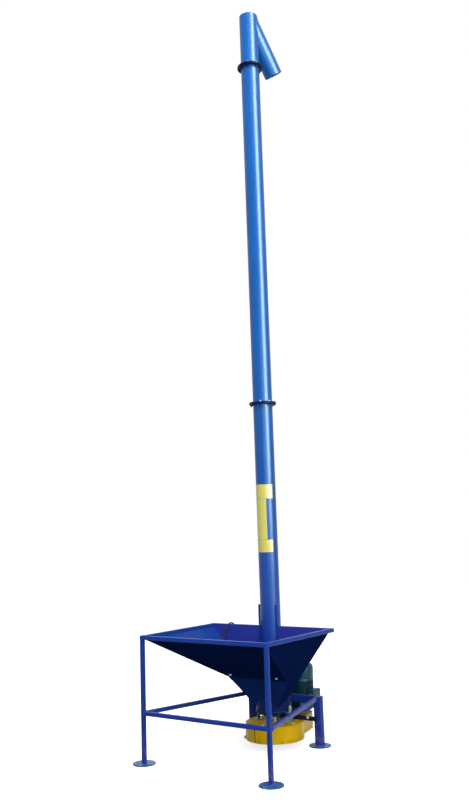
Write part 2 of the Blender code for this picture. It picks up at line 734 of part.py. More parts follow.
for side, sign in (("left", -1), ("right", 1)):
    gusset = outline_plate(
        f"motor_bracket_gusset_{side}", [bracket_outline], 0, BRACKET_THICK, (0, 0), LEG_FINISH
    )
    gusset.rotation_euler = (math.radians(90), 0, math.radians(90))
    gusset.location = (sign * (MOTOR_PLATE_HALF_X + BRACKET_THICK / 2 - 0.001), 0, 0)
    combine(plate, as_mesh(gusset), "UNION")

housing_foot = MOTOR_BOTTOM_Z + SHIELD_HEIGHT
turned(
    "motor_housing",
    [
        (MOTOR_RADIUS, MOTOR_TOP_Z),
        (MOTOR_RADIUS, housing_foot),
        (MOTOR_CORE_RADIUS, housing_foot),
        (MOTOR_CORE_RADIUS, MOTOR_TOP_Z - 0.01),
        (MOTOR_SHAFT_RADIUS + FIT, MOTOR_TOP_Z - 0.01),
        (MOTOR_SHAFT_RADIUS + FIT, MOTOR_TOP_Z),
    ],
    motor_at,
    MOTOR_FINISH,
)
turned(
    "motor_end_shield",
    [
        (MOTOR_RADIUS, housing_foot - GAP),
        (MOTOR_RADIUS, MOTOR_BOTTOM_Z),
        (MOTOR_SHAFT_RADIUS + FIT, MOTOR_BOTTOM_Z),
        (MOTOR_SHAFT_RADIUS + FIT, housing_foot - GAP),
    ],
    motor_at,
    MOTOR_FINISH,
)
ring(
    "motor_stator", 0.0505, MOTOR_CORE_RADIUS - FIT, MOTOR_BOTTOM_Z + 0.035, MOTOR_TOP_Z - 0.035,
    motor_at, ((0.3, 0.3, 0.31), 1.0, 0.5),
)
fan_z = MOTOR_TOP_Z + 0.03
turned(
    "motor_rotor",
    [
        (0, fan_z + 0.02),
        (MOTOR_SHAFT_RADIUS, fan_z + 0.02),
        (MOTOR_SHAFT_RADIUS, MOTOR_TOP_Z - 0.038),
        (0.05, MOTOR_TOP_Z - 0.038),
        (0.05, MOTOR_BOTTOM_Z + 0.038),
        (MOTOR_SHAFT_RADIUS, MOTOR_BOTTOM_Z + 0.038),
        (MOTOR_SHAFT_RADIUS, SHAFT_BOTTOM_Z),
        (0, SHAFT_BOTTOM_Z),
    ],
    motor_at,
    ((0.4, 0.4, 0.4), 1.0, 0.35),
    24,
)
turned(
    "motor_fan",
    [
        (0.085, fan_z),
        (0.085, fan_z - 0.004),
        (MOTOR_SHAFT_RADIUS + FIT, fan_z - 0.004),
        (MOTOR_SHAFT_RADIUS + FIT, fan_z + 0.012),
        (0.024, fan_z + 0.012),
        (0.024, fan_z),
    ],
    motor_at,
    ((0.02, 0.02, 0.02), 0.0, 0.5),
)
cover_foot = MOTOR_TOP_Z - 0.008
inside = FAN_COVER_RADIUS - FAN_COVER_WALL
turned(
    "fan_cover",
    [
        (0.03, FAN_COVER_TOP_Z),
        (FAN_COVER_RADIUS - 0.022, FAN_COVER_TOP_Z),
        (FAN_COVER_RADIUS - 0.007, FAN_COVER_TOP_Z - 0.006),
        (FAN_COVER_RADIUS, FAN_COVER_TOP_Z - 0.022),
        (FAN_COVER_RADIUS, cover_foot),
        (MOTOR_RADIUS + FIT, cover_foot),
        (MOTOR_RADIUS + FIT, MOTOR_TOP_Z + GAP),
        (inside, MOTOR_TOP_Z + GAP),
        (inside, FAN_COVER_TOP_Z - 0.022),
        (FAN_COVER_RADIUS - 0.009, FAN_COVER_TOP_Z - 0.008),
        (FAN_COVER_RADIUS - 0.023, FAN_COVER_TOP_Z - FAN_COVER_WALL),
        (0.03, FAN_COVER_TOP_Z - FAN_COVER_WALL),
    ],
    motor_at,
    ((0.02, 0.2, 0.22), 0.2, 0.45),
)

box_out, box_long, box_tall = TERMINAL_BOX
box_inner_x = MOTOR_RADIUS + GAP
terminal_box = box(
    "terminal_box",
    (box_inner_x, MOTOR_Y - box_long / 2, TERMINAL_BOX_Z),
    (box_inner_x + box_out, MOTOR_Y + box_long / 2, TERMINAL_BOX_Z + box_tall),
    ((0.02, 0.2, 0.22), 0.2, 0.45),
)
gland_at = Vector((box_inner_x + box_out / 2, MOTOR_Y - box_long / 2, TERMINAL_BOX_Z + box_tall / 2))
gland = disc("cable_gland", GLAND_RADIUS, -0.004, GLAND_LENGTH, gland_at, steps=16)
gland.rotation_euler = (math.radians(90), 0, 0)
combine(terminal_box, gland, "UNION")

# --- Belt drive -------------------------------------------------------------------------------------------


def pulley(name, radius, hub_radius, bore, location, finish, steps=40):
    """A grooved pulley with a thin web and a hub."""
    half = PULLEY_WIDTH / 2
    mouth_half = BELT_WIDTH / 2 + 0.001
    foot_half = mouth_half * 0.62
    floor = radius - GROOVE_DEPTH
    rim_inside = floor - 0.008
    profile = [
        (radius, BELT_Z + half),
        (radius, BELT_Z + mouth_half),
        (floor, BELT_Z + foot_half),
        (floor, BELT_Z - foot_half),
        (radius, BELT_Z - mouth_half),
        (radius, BELT_Z - half),
    ]
    if rim_inside > hub_radius + 0.02:
        web = 0.005
        profile += [
            (rim_inside, BELT_Z - half),
            (rim_inside, BELT_Z - web),
            (hub_radius, BELT_Z - web),
            (hub_radius, BELT_Z - half),
            (bore, BELT_Z - half),
            (bore, BELT_Z + half + 0.012),
            (hub_radius, BELT_Z + half + 0.012),
            (hub_radius, BELT_Z + web),
            (rim_inside, BELT_Z + web),
            (rim_inside, BELT_Z + half),
        ]
    else:
        profile += [(bore, BELT_Z - half), (bore, BELT_Z + half)]
    return turned(name, profile, location, finish, steps)


PULLEY_FINISH = ((0.12, 0.12, 0.13), 0.9, 0.45)
pulley("auger_pulley", AUGER_PULLEY_RADIUS, 0.035, SHAFT_RADIUS + FIT, (0, 0, 0), PULLEY_FINISH)
pulley("motor_pulley", MOTOR_PULLEY_RADIUS, 0.03, MOTOR_SHAFT_RADIUS + FIT, motor_at, PULLEY_FINISH, 32)


def belt_line(offset):
    """The loop round both pulleys at a distance inside their rims: two arcs joined by the tangents."""
    big, small = AUGER_PULLEY_RADIUS - offset, MOTOR_PULLEY_RADIUS - offset
    lean = math.asin((big - small) / MOTOR_Y)
    points = arc((0, 0), big, math.pi - lean, 2 * math.pi + lean, 36)
    points += arc((0, MOTOR_Y), small, lean, math.pi - lean, 14)
    return points


# The belt's back stands level with the rims and its foot stays off the groove's floor.
belt_half = BELT_WIDTH * 0.365
outline_plate(
    "v_belt", [belt_line(0.0), belt_line(BELT_DEPTH)], BELT_Z - belt_half, BELT_Z + belt_half, (0, 0),
    ((0.01, 0.01, 0.01), 0.0, 0.7),
)


def guard_arcs(inset, seam=0.0):
    """The guard's outline moved in: the round end, its neck and the small end. A seam leaves it open."""
    radius = GUARD_RADIUS - inset
    half = GUARD_NECK_HALF - inset
    left = math.pi - math.acos(half / radius)
    right = 2 * math.pi + math.acos(half / radius)
    cut = seam / 2 / radius
    before = arc((0, 0), radius, left, GUARD_SEAM_TURN - cut, 12)
    after = arc((0, 0), radius, GUARD_SEAM_TURN + cut, right, 36)
    end = arc((0, MOTOR_Y), GUARD_END_RADIUS - inset, 0, math.pi, 16)
    return before, after, end


before, after, end = guard_arcs(0)
shaft_hole = arc((0, 0), SHAFT_RADIUS + 0.004, 0, 2 * math.pi * 23 / 24, 24)
motor_hole = arc((0, MOTOR_Y), MOTOR_SHAFT_RADIUS + 0.004, 0, 2 * math.pi * 19 / 20, 20)
GUARD_FINISH = ((0.62, 0.42, 0.005), 0.0, 0.4)
guard_top_outlines = [before + after + end, shaft_hole, motor_hole]
outline_plate(
    "guard_top", guard_top_outlines, GUARD_TOP_Z - GUARD_SHEET, GUARD_TOP_Z, (0, 0), GUARD_FINISH
)
outer_before, outer_after, outer_end = guard_arcs(0, GUARD_SEAM)
inner_before, inner_after, inner_end = guard_arcs(GUARD_SHEET, GUARD_SEAM)
band = outer_after + outer_end + outer_before
band += inner_before[::-1] + inner_end[::-1] + inner_after[::-1]
outline_plate("guard_skirt", [band], GUARD_BOTTOM_Z, GUARD_TOP_Z - GUARD_SHEET - GAP, (0, 0), GUARD_FINISH)

# The guard hangs on a bar across the rear legs' front faces and on two straps from the boot's sides.
hanger_z = GUARD_TOP_Z + GAP
hanger_y = REAR_LEG_Y - REAR_BAR / 2 - GAP
box(
    "guard_hanger_bar",
    (-REAR_LEG_X, hanger_y - HANGER_THICK, hanger_z),
    (REAR_LEG_X, hanger_y, hanger_z + HANGER_HEIGHT),
    (NAVY, 0.0, 0.45),
)
strap_foot = GUARD_TOP_Z + GAP
strap_inner = BOOT_FLOOR_RADIUS + GAP
for side, sign in (("left", -1), ("right", 1)):
    outline = [
        (strap_inner - STRAP_FOOT, strap_foot),
        (strap_inner + STRAP_THICK, strap_foot),
        (strap_inner + STRAP_THICK, STRAP_TOP_Z),
        (strap_inner, STRAP_TOP_Z),
        (strap_inner, strap_foot + STRAP_THICK),
        (strap_inner - STRAP_FOOT, strap_foot + STRAP_THICK),
    ]
    outline = [(sign * x, z) for x, z in outline]
    finish = ((0.25, 0.33, 0.25), 0.7, 0.4)
    strap = outline_plate(f"guard_strap_{side}", [outline], 0, STRAP_WIDTH, (0, 0), finish)
    strap.rotation_euler = (math.radians(90), 0, 0)
    strap.location = (0, 0, 0)

# --- Supply cable and its plug ------------------------------------------------------------------------------


def smooth_route(points, per_span):
    """Catmull-Rom points through a route."""
    path = [Vector(point) for point in points]
    path = [2 * path[0] - path[1]] + path + [2 * path[-1] - path[-2]]
    made = []
    for a, b, c, d in zip(path, path[1:], path[2:], path[3:], strict=False):
        for step in range(per_span):
            t = step / per_span
            bend = (2 * a - 5 * b + 4 * c - d) * t**2
            twist = (3 * b - 3 * c + d - a) * t**3
            made.append(0.5 * (2 * b + (c - a) * t + bend + twist))
    made.append(path[-2])
    return made


cable_points = smooth_route(CABLE_ROUTE, 2)
cable_curve = bpy.data.curves.new("supply_cable", "CURVE")
cable_curve.dimensions = "3D"
cable_curve.bevel_depth = CABLE_RADIUS
cable_curve.bevel_resolution = 2
cable_curve.use_fill_caps = True
cable_spline = cable_curve.splines.new("POLY")
cable_spline.points.add(len(cable_points) - 1)
for point, place in zip(cable_spline.points, cable_points, strict=True):
    point.co = (*place, 1)
add("supply_cable", cable_curve, (0, 0, 0), ((0.01, 0.01, 0.01), 0.0, 0.6))

plug_way = Vector(PLUG_DIRECTION).normalized()
plug = turned(
    "supply_plug",
    [
        (0, 0),
        (0.009, 0),
        (0.012, 0.03),
        (PLUG_RADIUS * 0.85, 0.045),
        (PLUG_RADIUS * 0.9, 0.085),
        (PLUG_RADIUS, 0.087),
        (PLUG_RADIUS, PLUG_LENGTH),
        (PLUG_RADIUS - 0.003, PLUG_LENGTH),
        (PLUG_RADIUS - 0.003, 0.09),
        (0, 0.09),
    ],
    Vector(CABLE_ROUTE[-1]) + plug_way * GAP,
    ((0.02, 0.02, 0.02), 0.0, 0.5),
    24,
)
plug.rotation_euler = Vector((0, 0, 1)).rotation_difference(plug_way).to_euler()

bpy.context.view_layer.update()
for obj in parts.objects:
    if obj.type == "MESH":
        smooth(obj.data)
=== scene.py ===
"""A vertical grain auger: hopper on a square-tube frame, flanged conveying tube with a tilted spout, and a
guarded belt drive from an upright motor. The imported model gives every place; this script gives the looks.
"""

import math

import bmesh
import bpy
import numpy as np
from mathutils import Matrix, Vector


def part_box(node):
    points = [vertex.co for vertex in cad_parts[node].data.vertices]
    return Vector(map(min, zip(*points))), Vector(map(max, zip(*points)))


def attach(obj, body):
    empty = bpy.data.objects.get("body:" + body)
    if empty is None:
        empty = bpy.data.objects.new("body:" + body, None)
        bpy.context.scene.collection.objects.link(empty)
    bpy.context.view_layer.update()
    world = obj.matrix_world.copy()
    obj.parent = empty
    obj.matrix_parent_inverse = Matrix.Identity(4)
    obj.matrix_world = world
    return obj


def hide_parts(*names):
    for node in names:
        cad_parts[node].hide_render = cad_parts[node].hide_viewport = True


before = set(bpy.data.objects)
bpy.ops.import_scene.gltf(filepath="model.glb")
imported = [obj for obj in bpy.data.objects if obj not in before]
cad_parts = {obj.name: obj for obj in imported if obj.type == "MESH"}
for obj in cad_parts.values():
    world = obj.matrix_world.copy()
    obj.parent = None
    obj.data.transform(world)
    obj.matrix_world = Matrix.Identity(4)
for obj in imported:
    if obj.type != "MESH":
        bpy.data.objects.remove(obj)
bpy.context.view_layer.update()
bpy.context.scene.view_settings.view_transform = "Standard"

# --- Camera ---
# A person's eye level, in front of the hopper and to its right, looking up along the tube. The camera
# leans a little, and its turn, tilt and lean are in degrees.

AXIS_Y = sum(corner[1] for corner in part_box("auger_pulley")) / 2
MOTOR_Y = sum(corner[1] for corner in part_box("motor_pulley")) / 2
turn, tilt, lean = (math.radians(angle) for angle in (35.6114, 8.5152, -1.8694))
ahead = Vector((-math.sin(turn) * math.cos(tilt), math.cos(turn) * math.cos(tilt), math.sin(tilt)))
level = Vector((math.cos(turn), math.sin(turn), 0))
above = level.cross(ahead)
side = level * math.cos(lean) + above * math.sin(lean)
top = above * math.cos(lean) - level * math.sin(lean)
lens = bpy.data.cameras.new("eye_level")
lens.sensor_width = 36
lens.lens = 38.90663
lens.clip_end = 60
camera = bpy.data.objects.new("eye_level", lens)
placing = camera.matrix_world.copy()
for column, value in enumerate((side, top, -ahead, (3.4306, AXIS_Y - 5.1367, 1.4662))):
    placing.col[column][:3] = value
camera.matrix_world = placing
bpy.context.scene.collection.objects.link(camera)
bpy.context.scene.camera = camera

# --- Supply cable ---
# A 10 mm rubber-sheathed lead, one and a half metres long. It leaves the motor's terminal box, crosses the
# left gusset, hangs up behind the hopper to the back rim and lies down inside to its plug.

CABLE_DIAMETER = 0.01
CABLE_ROUTE = np.array([
    (0.1213, 0.2677, 0.2975), (0.1211, 0.2560, 0.2973), (0.1172, 0.2405, 0.2960),
    (0.1078, 0.2265, 0.2935), (0.0929, 0.2168, 0.2900), (0.0753, 0.2135, 0.2860),
    (0.0430, 0.2130, 0.2790), (0.0050, 0.2135, 0.2715), (-0.0330, 0.2150, 0.2655),
    (-0.0700, 0.2175, 0.2603), (-0.1080, 0.2210, 0.2565), (-0.1500, 0.2200, 0.2558),
    (-0.1950, 0.2140, 0.2590), (-0.2380, 0.2020, 0.2710), (-0.2700, 0.1870, 0.2960),
    (-0.2930, 0.1710, 0.3330), (-0.3080, 0.1510, 0.3850), (-0.3180, 0.1270, 0.4500),
    (-0.3240, 0.1020, 0.5200), (-0.3275, 0.0800, 0.5900), (-0.3300, 0.0595, 0.6600),
    (-0.3310, 0.0430, 0.7180), (-0.3320, 0.0338, 0.7621), (-0.3326, 0.0262, 0.7853),
    (-0.3337, 0.0103, 0.8015), (-0.3355, -0.0125, 0.8076), (-0.3380, -0.0353, 0.8015),
    (-0.3417, -0.0519, 0.7849), (-0.3465, -0.0597, 0.7625), (-0.3560, -0.0700, 0.7300),
    (-0.3650, -0.0850, 0.6960), (-0.3680, -0.1080, 0.6640), (-0.3553, -0.1380, 0.6340),
    (-0.3335, -0.1720, 0.6060), (-0.3080, -0.2070, 0.5820), (-0.2790, -0.2400, 0.5660),
    (-0.2470, -0.2680, 0.5590), (-0.2130, -0.2920, 0.5600), (-0.1760, -0.3051, 0.5630),
    (-0.1400, -0.3080, 0.5646),
]) + (0, AXIS_Y, 0)


def through(points, per_span):
    """Catmull-Rom: on each span, a cubic in t whose ends lie on two points and whose slopes are half the
    way between their neighbours."""
    ends = np.vstack([2 * points[0] - points[1], points, 2 * points[-1] - points[-2]])
    a, b, c, d = (ends[i : len(ends) - 3 + i, None, :] for i in range(4))
    t = (np.arange(per_span) / per_span)[None, :, None]
    rows = 2 * b + (c - a) * t + (2 * a - 5 * b + 4 * c - d) * t**2 + (3 * b - 3 * c + d - a) * t**3
    return np.vstack([(rows / 2).reshape(-1, 3), points[-1]])


def unit(way):
    """A direction made one long."""
    return np.asarray(way, float) / np.linalg.norm(way)


def carried(path, rings):
    """A ring of (across, up) offsets set square to a path at each of its points.

    The first ring's frame is turned along by the least rotation from one tangent to the next, so it never
    twists. rings is one (k, 2) ring or one for each point. Returns points (n, k, 3).
    """
    path = np.asarray(path, float)
    ways = np.gradient(path, axis=0)
    ways /= np.linalg.norm(ways, axis=1)[:, None]
    across = np.cross(ways[0], (0, 0, 1) if abs(ways[0, 2]) < 0.9 else (0, 1, 0))
    frames = []
    for way in ways:
        across = unit(across - way * (across @ way))
        frames.append((across, np.cross(across, way)))
    frames = np.array(frames)
    rings = np.broadcast_to(rings, (len(path), *np.shape(rings)[-2:]))
    return path[:, None] + rings[..., :1] * frames[:, None, 0] + rings[..., 1:] * frames[:, None, 1]


def turns(count):
    """Angles of count even steps round a circle."""
    return np.arange(count) * 2 * math.pi / count


def circle(radius, count):
    """Points (radius cos t, radius sin t) for count even steps of t."""
    return np.stack([np.cos(turns(count)), np.sin(turns(count))], 1) * radius


def skin(grid, ring=False):
    """Faces over a grid of points (n, k, 3): quads between neighbours, closed round k, and round n too if
    ring. Otherwise one face fills each end. Returns (points, faces)."""
    n, k = grid.shape[:2]
    index = np.arange(n * k).reshape(n, k)
    upper, lower = (index, np.roll(index, -1, 0)) if ring else (index[:-1], index[1:])
    quads = np.stack([upper, np.roll(upper, -1, 1), np.roll(lower, -1, 1), lower], -1)
    faces = [tuple(face) for face in quads.reshape(-1, 4).tolist()]
    if not ring:
        faces += [tuple(index[0][::-1].tolist()), tuple(index[-1].tolist())]
    return grid.reshape(-1, 3), faces


def placed(name, mesh, finish, stands_for, body="frame"):
    """An object of one finish that rides on a body and may stand for CAD nodes."""
    mesh.materials.clear()
    mesh.materials.append(finish)
    made = bpy.data.objects.new(name, mesh)
    bpy.context.scene.collection.objects.link(made)
    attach(made, body)
    if stands_for:
        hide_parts(*stands_for)
    return made


def cleaned(mesh, nearer, crease, outward):
    """Joins points nearer than a distance, turns faces outward if asked, and keeps edges over an angle
    sharp."""
    bm = bmesh.new()
    bm.from_mesh(mesh)
    bmesh.ops.remove_doubles(bm, verts=bm.verts, dist=nearer)
    if outward:
        bmesh.ops.recalc_face_normals(bm, faces=bm.faces)
    bm.to_mesh(mesh)
    bm.free()
    mesh.shade_smooth()
    mesh.set_sharp_from_angle(angle=math.radians(crease))


def piece(name, shapes, finish, stands_for=(), crease=35):
    """One object of the still frame, made from several (points, faces)."""
    mesh = bpy.data.meshes.new(name)
    faces, start = [], 0
    for points, those in shapes:
        faces += [tuple(i + start for i in face) for face in those]
        start += len(points)
    mesh.from_pydata(np.vstack([points for points, _ in shapes]).tolist(), [], faces)
    cleaned(mesh, 1e-7, crease, outward=True)
    return placed(name, mesh, finish, stands_for)


class Field:
    """A shader socket that takes part in sums and products: each adds a Math node to its finish."""

    def __init__(self, finish, socket):
        self.finish, self.socket = finish, socket

    def maths(self, operation, *terms):
        return self.finish.node("ShaderNodeMath", {"operation": operation}, terms)

    def __add__(self, other):
        return self.maths("ADD", self, other)

    def __sub__(self, other):
        return self.maths("SUBTRACT", self, other)

    def __rsub__(self, other):
        return self.maths("SUBTRACT", other, self)

    def __mul__(self, other):
        return self.maths("MULTIPLY", self, other)

    __radd__ = __add__
    __rmul__ = __mul__

    def above(self, low, high):
        """0 under low, 1 over high, straight between."""
        values = {"Value": self, "From Min": low, "From Max": high}
        return self.finish.node("ShaderNodeMapRange", {"clamp": True}, values)

    def wave(self):
        return self.maths("SINE", self)


class Nodes:
    """A shader tree, whose nodes all come from one method."""

    def __init__(self, tree):
        self.tree = tree

    def node(self, kind, settings, values, output=0):
        """Adds a node: its settings first, then its inputs, given in order or by name."""
        made = self.tree.nodes.new(kind)
        for key, value in settings.items():
            setattr(made, key, value)
        pairs = values.items() if isinstance(values, dict) else enumerate(values)
        for key, value in pairs:
            self.link(made.inputs[key], value)
        return Field(self, made.outputs[output])

    def link(self, socket, value):
        if isinstance(value, Field):
            self.tree.links.new(value.socket, socket)
        elif value is not None:
            full = isinstance(value, tuple) and socket.type == "RGBA"
            socket.default_value = (*value, 1) if full else value

    def mix(self, factor, first, second):
        return self.node("ShaderNodeMix", {"data_type": "RGBA"}, {0: factor, 6: first, 7: second}, 2)


class Finish(Nodes):
    """A material of one Principled shader."""

    def __init__(self, name, metallic=0.0, roughness=0.4, coat=0.0, specular=0.5, tint=(1, 1, 1)):
        self.made = bpy.data.materials.new(name)
        self.made.use_nodes = True
        super().__init__(self.made.node_tree)
        self.shader = self.tree.nodes["Principled BSDF"]
        self.put(metallic=metallic, roughness=roughness, coat_weight=coat, coat_roughness=0.12)
        self.shader.inputs["Specular IOR Level"].default_value = specular
        self.put(specular_tint=tint)
        self.place = self.node("ShaderNodeTexCoord", {}, {}, "Object")

    def noise(self, scale, detail=2.0, stretch=(1, 1, 1), roughness=0.5):
        where = self.node("ShaderNodeMapping", {}, {"Vector": self.place, "Scale": stretch})
        values = {"Vector": where, "Scale": scale, "Detail": detail, "Roughness": roughness}
        return self.node("ShaderNodeTexNoise", {}, values)

    def layered(self, tone, *layers):
        """Colours laid one over another, each where its factor is high."""
        for factor, code in layers:
            tone = self.mix(factor, tone, hue(code))
        return tone

    def along(self, axis):
        return self.node("ShaderNodeSeparateXYZ", {}, [self.place], axis)

    def lift(self):
        """How far a face looks up: the Z of its normal."""
        facing = self.node("ShaderNodeNewGeometry", {}, {}, "Normal")
        return self.node("ShaderNodeSeparateXYZ", {}, [facing], 2)

    def bump(self, height, strength, distance):
        values = {"Height": height, "Strength": strength, "Distance": distance}
        self.link(self.shader.inputs["Normal"], self.node("ShaderNodeBump", {}, values))

    def put(self, **sockets):
        for key, value in sockets.items():
            self.link(self.shader.inputs[key.replace("_", " ").title()], value)
        return self.made


def hue(code):
    """A colour written as six hex digits, made linear."""
    parts = [int(code[i : i + 2], 16) / 255 for i in (0, 2, 4)]
    return tuple(c / 12.92 if c <= 0.04045 else ((c + 0.055) / 1.055) ** 2.4 for c in parts)


def rubber_finish(name, colour, dusty):
    """Matt rubber with a fine grain and pale dust that gathers in patches."""
    made = Finish(name, roughness=0.62, specular=0.25)
    patches = made.noise(14, 4).above(0.48, 0.75)
    grain = made.noise(900, 2)
    colours = made.mix(patches * 0.2, hue(colour), hue(dusty))
    made.bump(grain, 0.25, 0.0004)
    return made.put(base_color=colours, roughness=0.5 + patches * 0.25)


cable_rubber = rubber_finish("cable_sheath_rubber", "121316", "4b4a48")
cable_path = through(CABLE_ROUTE, 6)
sheath = [skin(carried(cable_path, circle(CABLE_DIAMETER / 2, 20)))]
cable = piece("supply_cable_sheath", sheath, cable_rubber, ["supply_cable"])

# --- Plug ---
# An industrial plug of moulded black plastic: a ribbed cable nut, a knurled grip and a round collar with
# its pins inside. It is screwed together from two halves and lies on the hopper's front sheet.

plug_at = CABLE_ROUTE[-1]
plug_way = unit((1.0, -0.08, 0.044))
plug_profile = [
    (0.0004, 0.0062), (0.001, 0.0088), (0.01, 0.0098), (0.027, 0.0118), (0.03, 0.015),
    (0.042, 0.023), (0.045, 0.024), (0.082, 0.0245), (0.0845, 0.024), (0.086, 0.027),
    (0.089, 0.0276), (0.122, 0.0276), (0.124, 0.0268), (0.124, 0.0245), (0.1, 0.024),
    (0.1, 0.004),
]


def square_to(way):
    """Two directions that make a right-handed frame with a way."""
    u = unit(np.cross(way, (0, 0, 1) if abs(way[2]) < 0.9 else (1, 0, 0)))
    return u, np.cross(way, u)


def turned(profile, origin, way=(0, 0, 1), sides=96, ribs=None, ring=False):
    """A profile of (distance along, radius) turned about an axis: point = origin + way d + r (u cos t + v
    sin t). ribs(d, t) may scale the radius, and ring closes the profile."""
    way = unit(way)
    u, v = square_to(way)
    t = turns(sides)
    d, r = np.asarray(profile, float).T
    radius = r[:, None] * (np.ones((1, sides)) if ribs is None else ribs(d[:, None], t[None, :]))
    spread = radius[..., None] * (np.cos(t)[:, None] * u + np.sin(t)[:, None] * v)
    return skin(np.asarray(origin) + d[:, None, None] * way + spread, ring)


def plug_ribs(d, t):
    """Shallow flutes: the radius dips by 3% in 18 waves round the nut and by 2% in 24 round the grip."""
    nut = ((d > 0.002) & (d < 0.028)) * 0.03 * (np.cos(18 * t) - 1) / 2
    grip = ((d > 0.047) & (d < 0.08)) * 0.02 * (np.cos(24 * t) - 1) / 2
    return 1 + nut + grip


plug_plastic = rubber_finish("plug_moulded_plastic", "1a1a1c", "55524e")
brass = Finish("plug_pin_brass", metallic=1.0, roughness=0.3)
brass.bump(brass.noise(400, 1), 0.1, 0.0002)
pin_brass = brass.put(base_color=brass.mix(brass.noise(60), hue("b08a3c"), hue("8a6c30")))
plug_shape = turned(plug_profile, plug_at + plug_way * 0.0003, plug_way, ribs=plug_ribs)
plug_body = piece("supply_plug_body", [plug_shape], plug_plastic, ["supply_plug"], crease=50)
side_way = unit(np.cross(plug_way, (0, 0, 1)))
up_way = np.cross(side_way, plug_way)
pin = [(0.099, 0.003), (0.115, 0.003), (0.1185, 0.002), (0.119, 0.0008)]
pins = []
for angle in turns(5):
    offset = (side_way * math.cos(angle) + up_way * math.sin(angle)) * 0.0125
    pins.append(turned(pin, plug_at + offset, plug_way, 16))
plug_pins = piece("supply_plug_pins", pins, pin_brass)

# --- Legs, braces and crossbar ---
# Square steel tube, sawn, welded and brushed over with blue enamel: 25 mm for the front legs and braces,
# 50 mm for the rear legs. Rear legs are closed with a welded cap; each leg stands on a round plate.


def enamel(
    name, low, high, dust=0.0, gloss=0.3, bump=0.35, specular=0.12, flakes=0.0, sheen=(0.35, 0.62, 1)
):
    """Brushed and sprayed enamel on steel.

    Colour: low near the floor going to high at two and a half metres, with broad cloudy patches and fine
    runs. The blend with height is painted light: darker and more violet low down and brighter and bluer high
    up, standing in for the stronger light on the upper parts. Chips: where a sharp noise passes a threshold,
    bare
    dull steel shows. Dust: on faces that look up, and thicker near the floor. Bump: orange peel at under a
    millimetre, and shallow brush streaks.
    """
    made = Finish(name, roughness=gloss, specular=specular, tint=sheen)
    height = made.along(2)
    # Painted light: the blend from the low colour to the high one with height stands in for the upper parts
    # being more brightly lit. It is not a change in the paint.
    rise = height.above(0, 2.6)
    clouds = made.noise(3.5, 3)
    streaks = made.noise(26, 3, (1, 1, 0.12))
    peel = made.noise(420, 2)
    chips = made.noise(70, 6, (1, 1, 0.7), 0.65).above(0.735, 0.75)
    colours = made.mix(rise, hue(low), hue(high))
    deeper = tuple(c * 0.55 for c in hue(high))
    paler = tuple(min(1, c * 1.5 + 0.01) for c in hue(high))
    darker = made.mix(clouds.above(0.35, 0.75) * 0.32, colours, deeper)
    runs = made.mix(streaks.above(0.55, 0.8) * 0.2, darker, paler)
    settled = made.lift().above(0.3, 0.95) * made.noise(40, 5).above(0.35, 0.7) * (0.06 + dust)
    splash = (1 - height.above(0.02, 0.22)) * made.noise(30, 5).above(0.42, 0.7) * 0.3
    bare = made.layered(runs, (settled + splash, "8f8a7c"), (chips * (0.7 + flakes), "30343c"))
    made.bump(peel * 0.25 + streaks * 0.6 + clouds * 0.4 - chips * 0.8, bump, 0.0012)
    rough = gloss + clouds * 0.12 + settled * 0.5 + splash * 0.6 + chips * 0.25
    return made.put(base_color=bare, roughness=rough)


def square_ring(width, height, radius, per_corner=4):
    """A rectangle with round corners: each corner's arc is centred a radius in from both sides."""
    points = []
    for number, (x, y) in enumerate(((1, 1), (-1, 1), (-1, -1), (1, -1))):
        t = (number + np.linspace(0, 1, per_corner)) * math.pi / 2
        centre = (x * (width / 2 - radius), y * (height / 2 - radius))
        points.append(np.stack([np.cos(t), np.sin(t)], 1) * radius + centre)
    return np.vstack(points)


def bar(start, end, width, height, radius=0.0025):
    """A square tube seen as a solid, with 0.6 mm eased off its ring at both ends."""
    ease = 0.0006
    start, end = np.asarray(start, float), np.asarray(end, float)
    way = unit(end - start)
    path = [start, start + way * ease, end - way * ease, end]
    small = square_ring(width - 2 * ease, height - 2 * ease, radius)
    full = square_ring(width, height, radius)
    return skin(carried(path, [small, full, full, small]))


def middle(node):
    """The low corner, high corner and centre of a node's box."""
    low, high = (np.array(corner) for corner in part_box(node))
    return low, high, (low + high) / 2


def box_bar(node, axis, radius=0.0025):
    """A frame tube that fills its node's box along one axis."""
    low, high, centre = middle(node)
    start, end = centre.copy(), centre.copy()
    start[axis], end[axis] = low[axis], high[axis]
    shapes = [bar(start, end, *np.delete(high - low, axis), radius)]
    piece(node + "_tube", shapes, frame_enamel, [node])
    return low, high, centre


def weld(path, radius, pitch=0.0032):
    """A weld bead: a round section carried along a path, whose radius swells once each pitch."""
    path = np.asarray(path, float)
    lengths = np.concatenate([[0], np.cumsum(np.linalg.norm(np.diff(path, axis=0), axis=1))])
    count = max(6, int(lengths[-1] / pitch * 4))
    at = np.linspace(0, lengths[-1], count)
    dense = np.stack([np.interp(at, lengths, path[:, i]) for i in range(3)], 1)
    swell = radius * (1 + 0.13 * np.sin(at / pitch * 2 * math.pi))
    swell[[0, -1]] *= 0.4
    return skin(carried(dense, circle(1, 8)[None] * swell[:, None, None]))


SQUARE = np.array([(-1, -1), (1, -1), (1, 1), (-1, 1), (-1, -1)])


def square_weld(centre, axis, reach, bead):
    """A weld round a square bar: a square loop whose sides lie a reach from a centre, across an axis."""
    return weld(np.insert(SQUARE * reach, axis, 0, axis=1) + centre, bead)


def round_weld(height, radius, bead):
    """A weld round the screw's axis: a torus whose tube swells in waves of about 4 mm."""
    waves = max(8, int(2 * math.pi * radius / 0.004))
    t, s = turns(waves * 4)[:, None], turns(8)
    swell = bead * (1 + 0.13 * np.sin(waves * t))
    reach = radius + swell * np.cos(s)
    ring = [-np.sin(t) * reach, np.cos(t) * reach + AXIS_Y, height + swell * np.sin(s)]
    return skin(np.stack(ring, -1), ring=True)


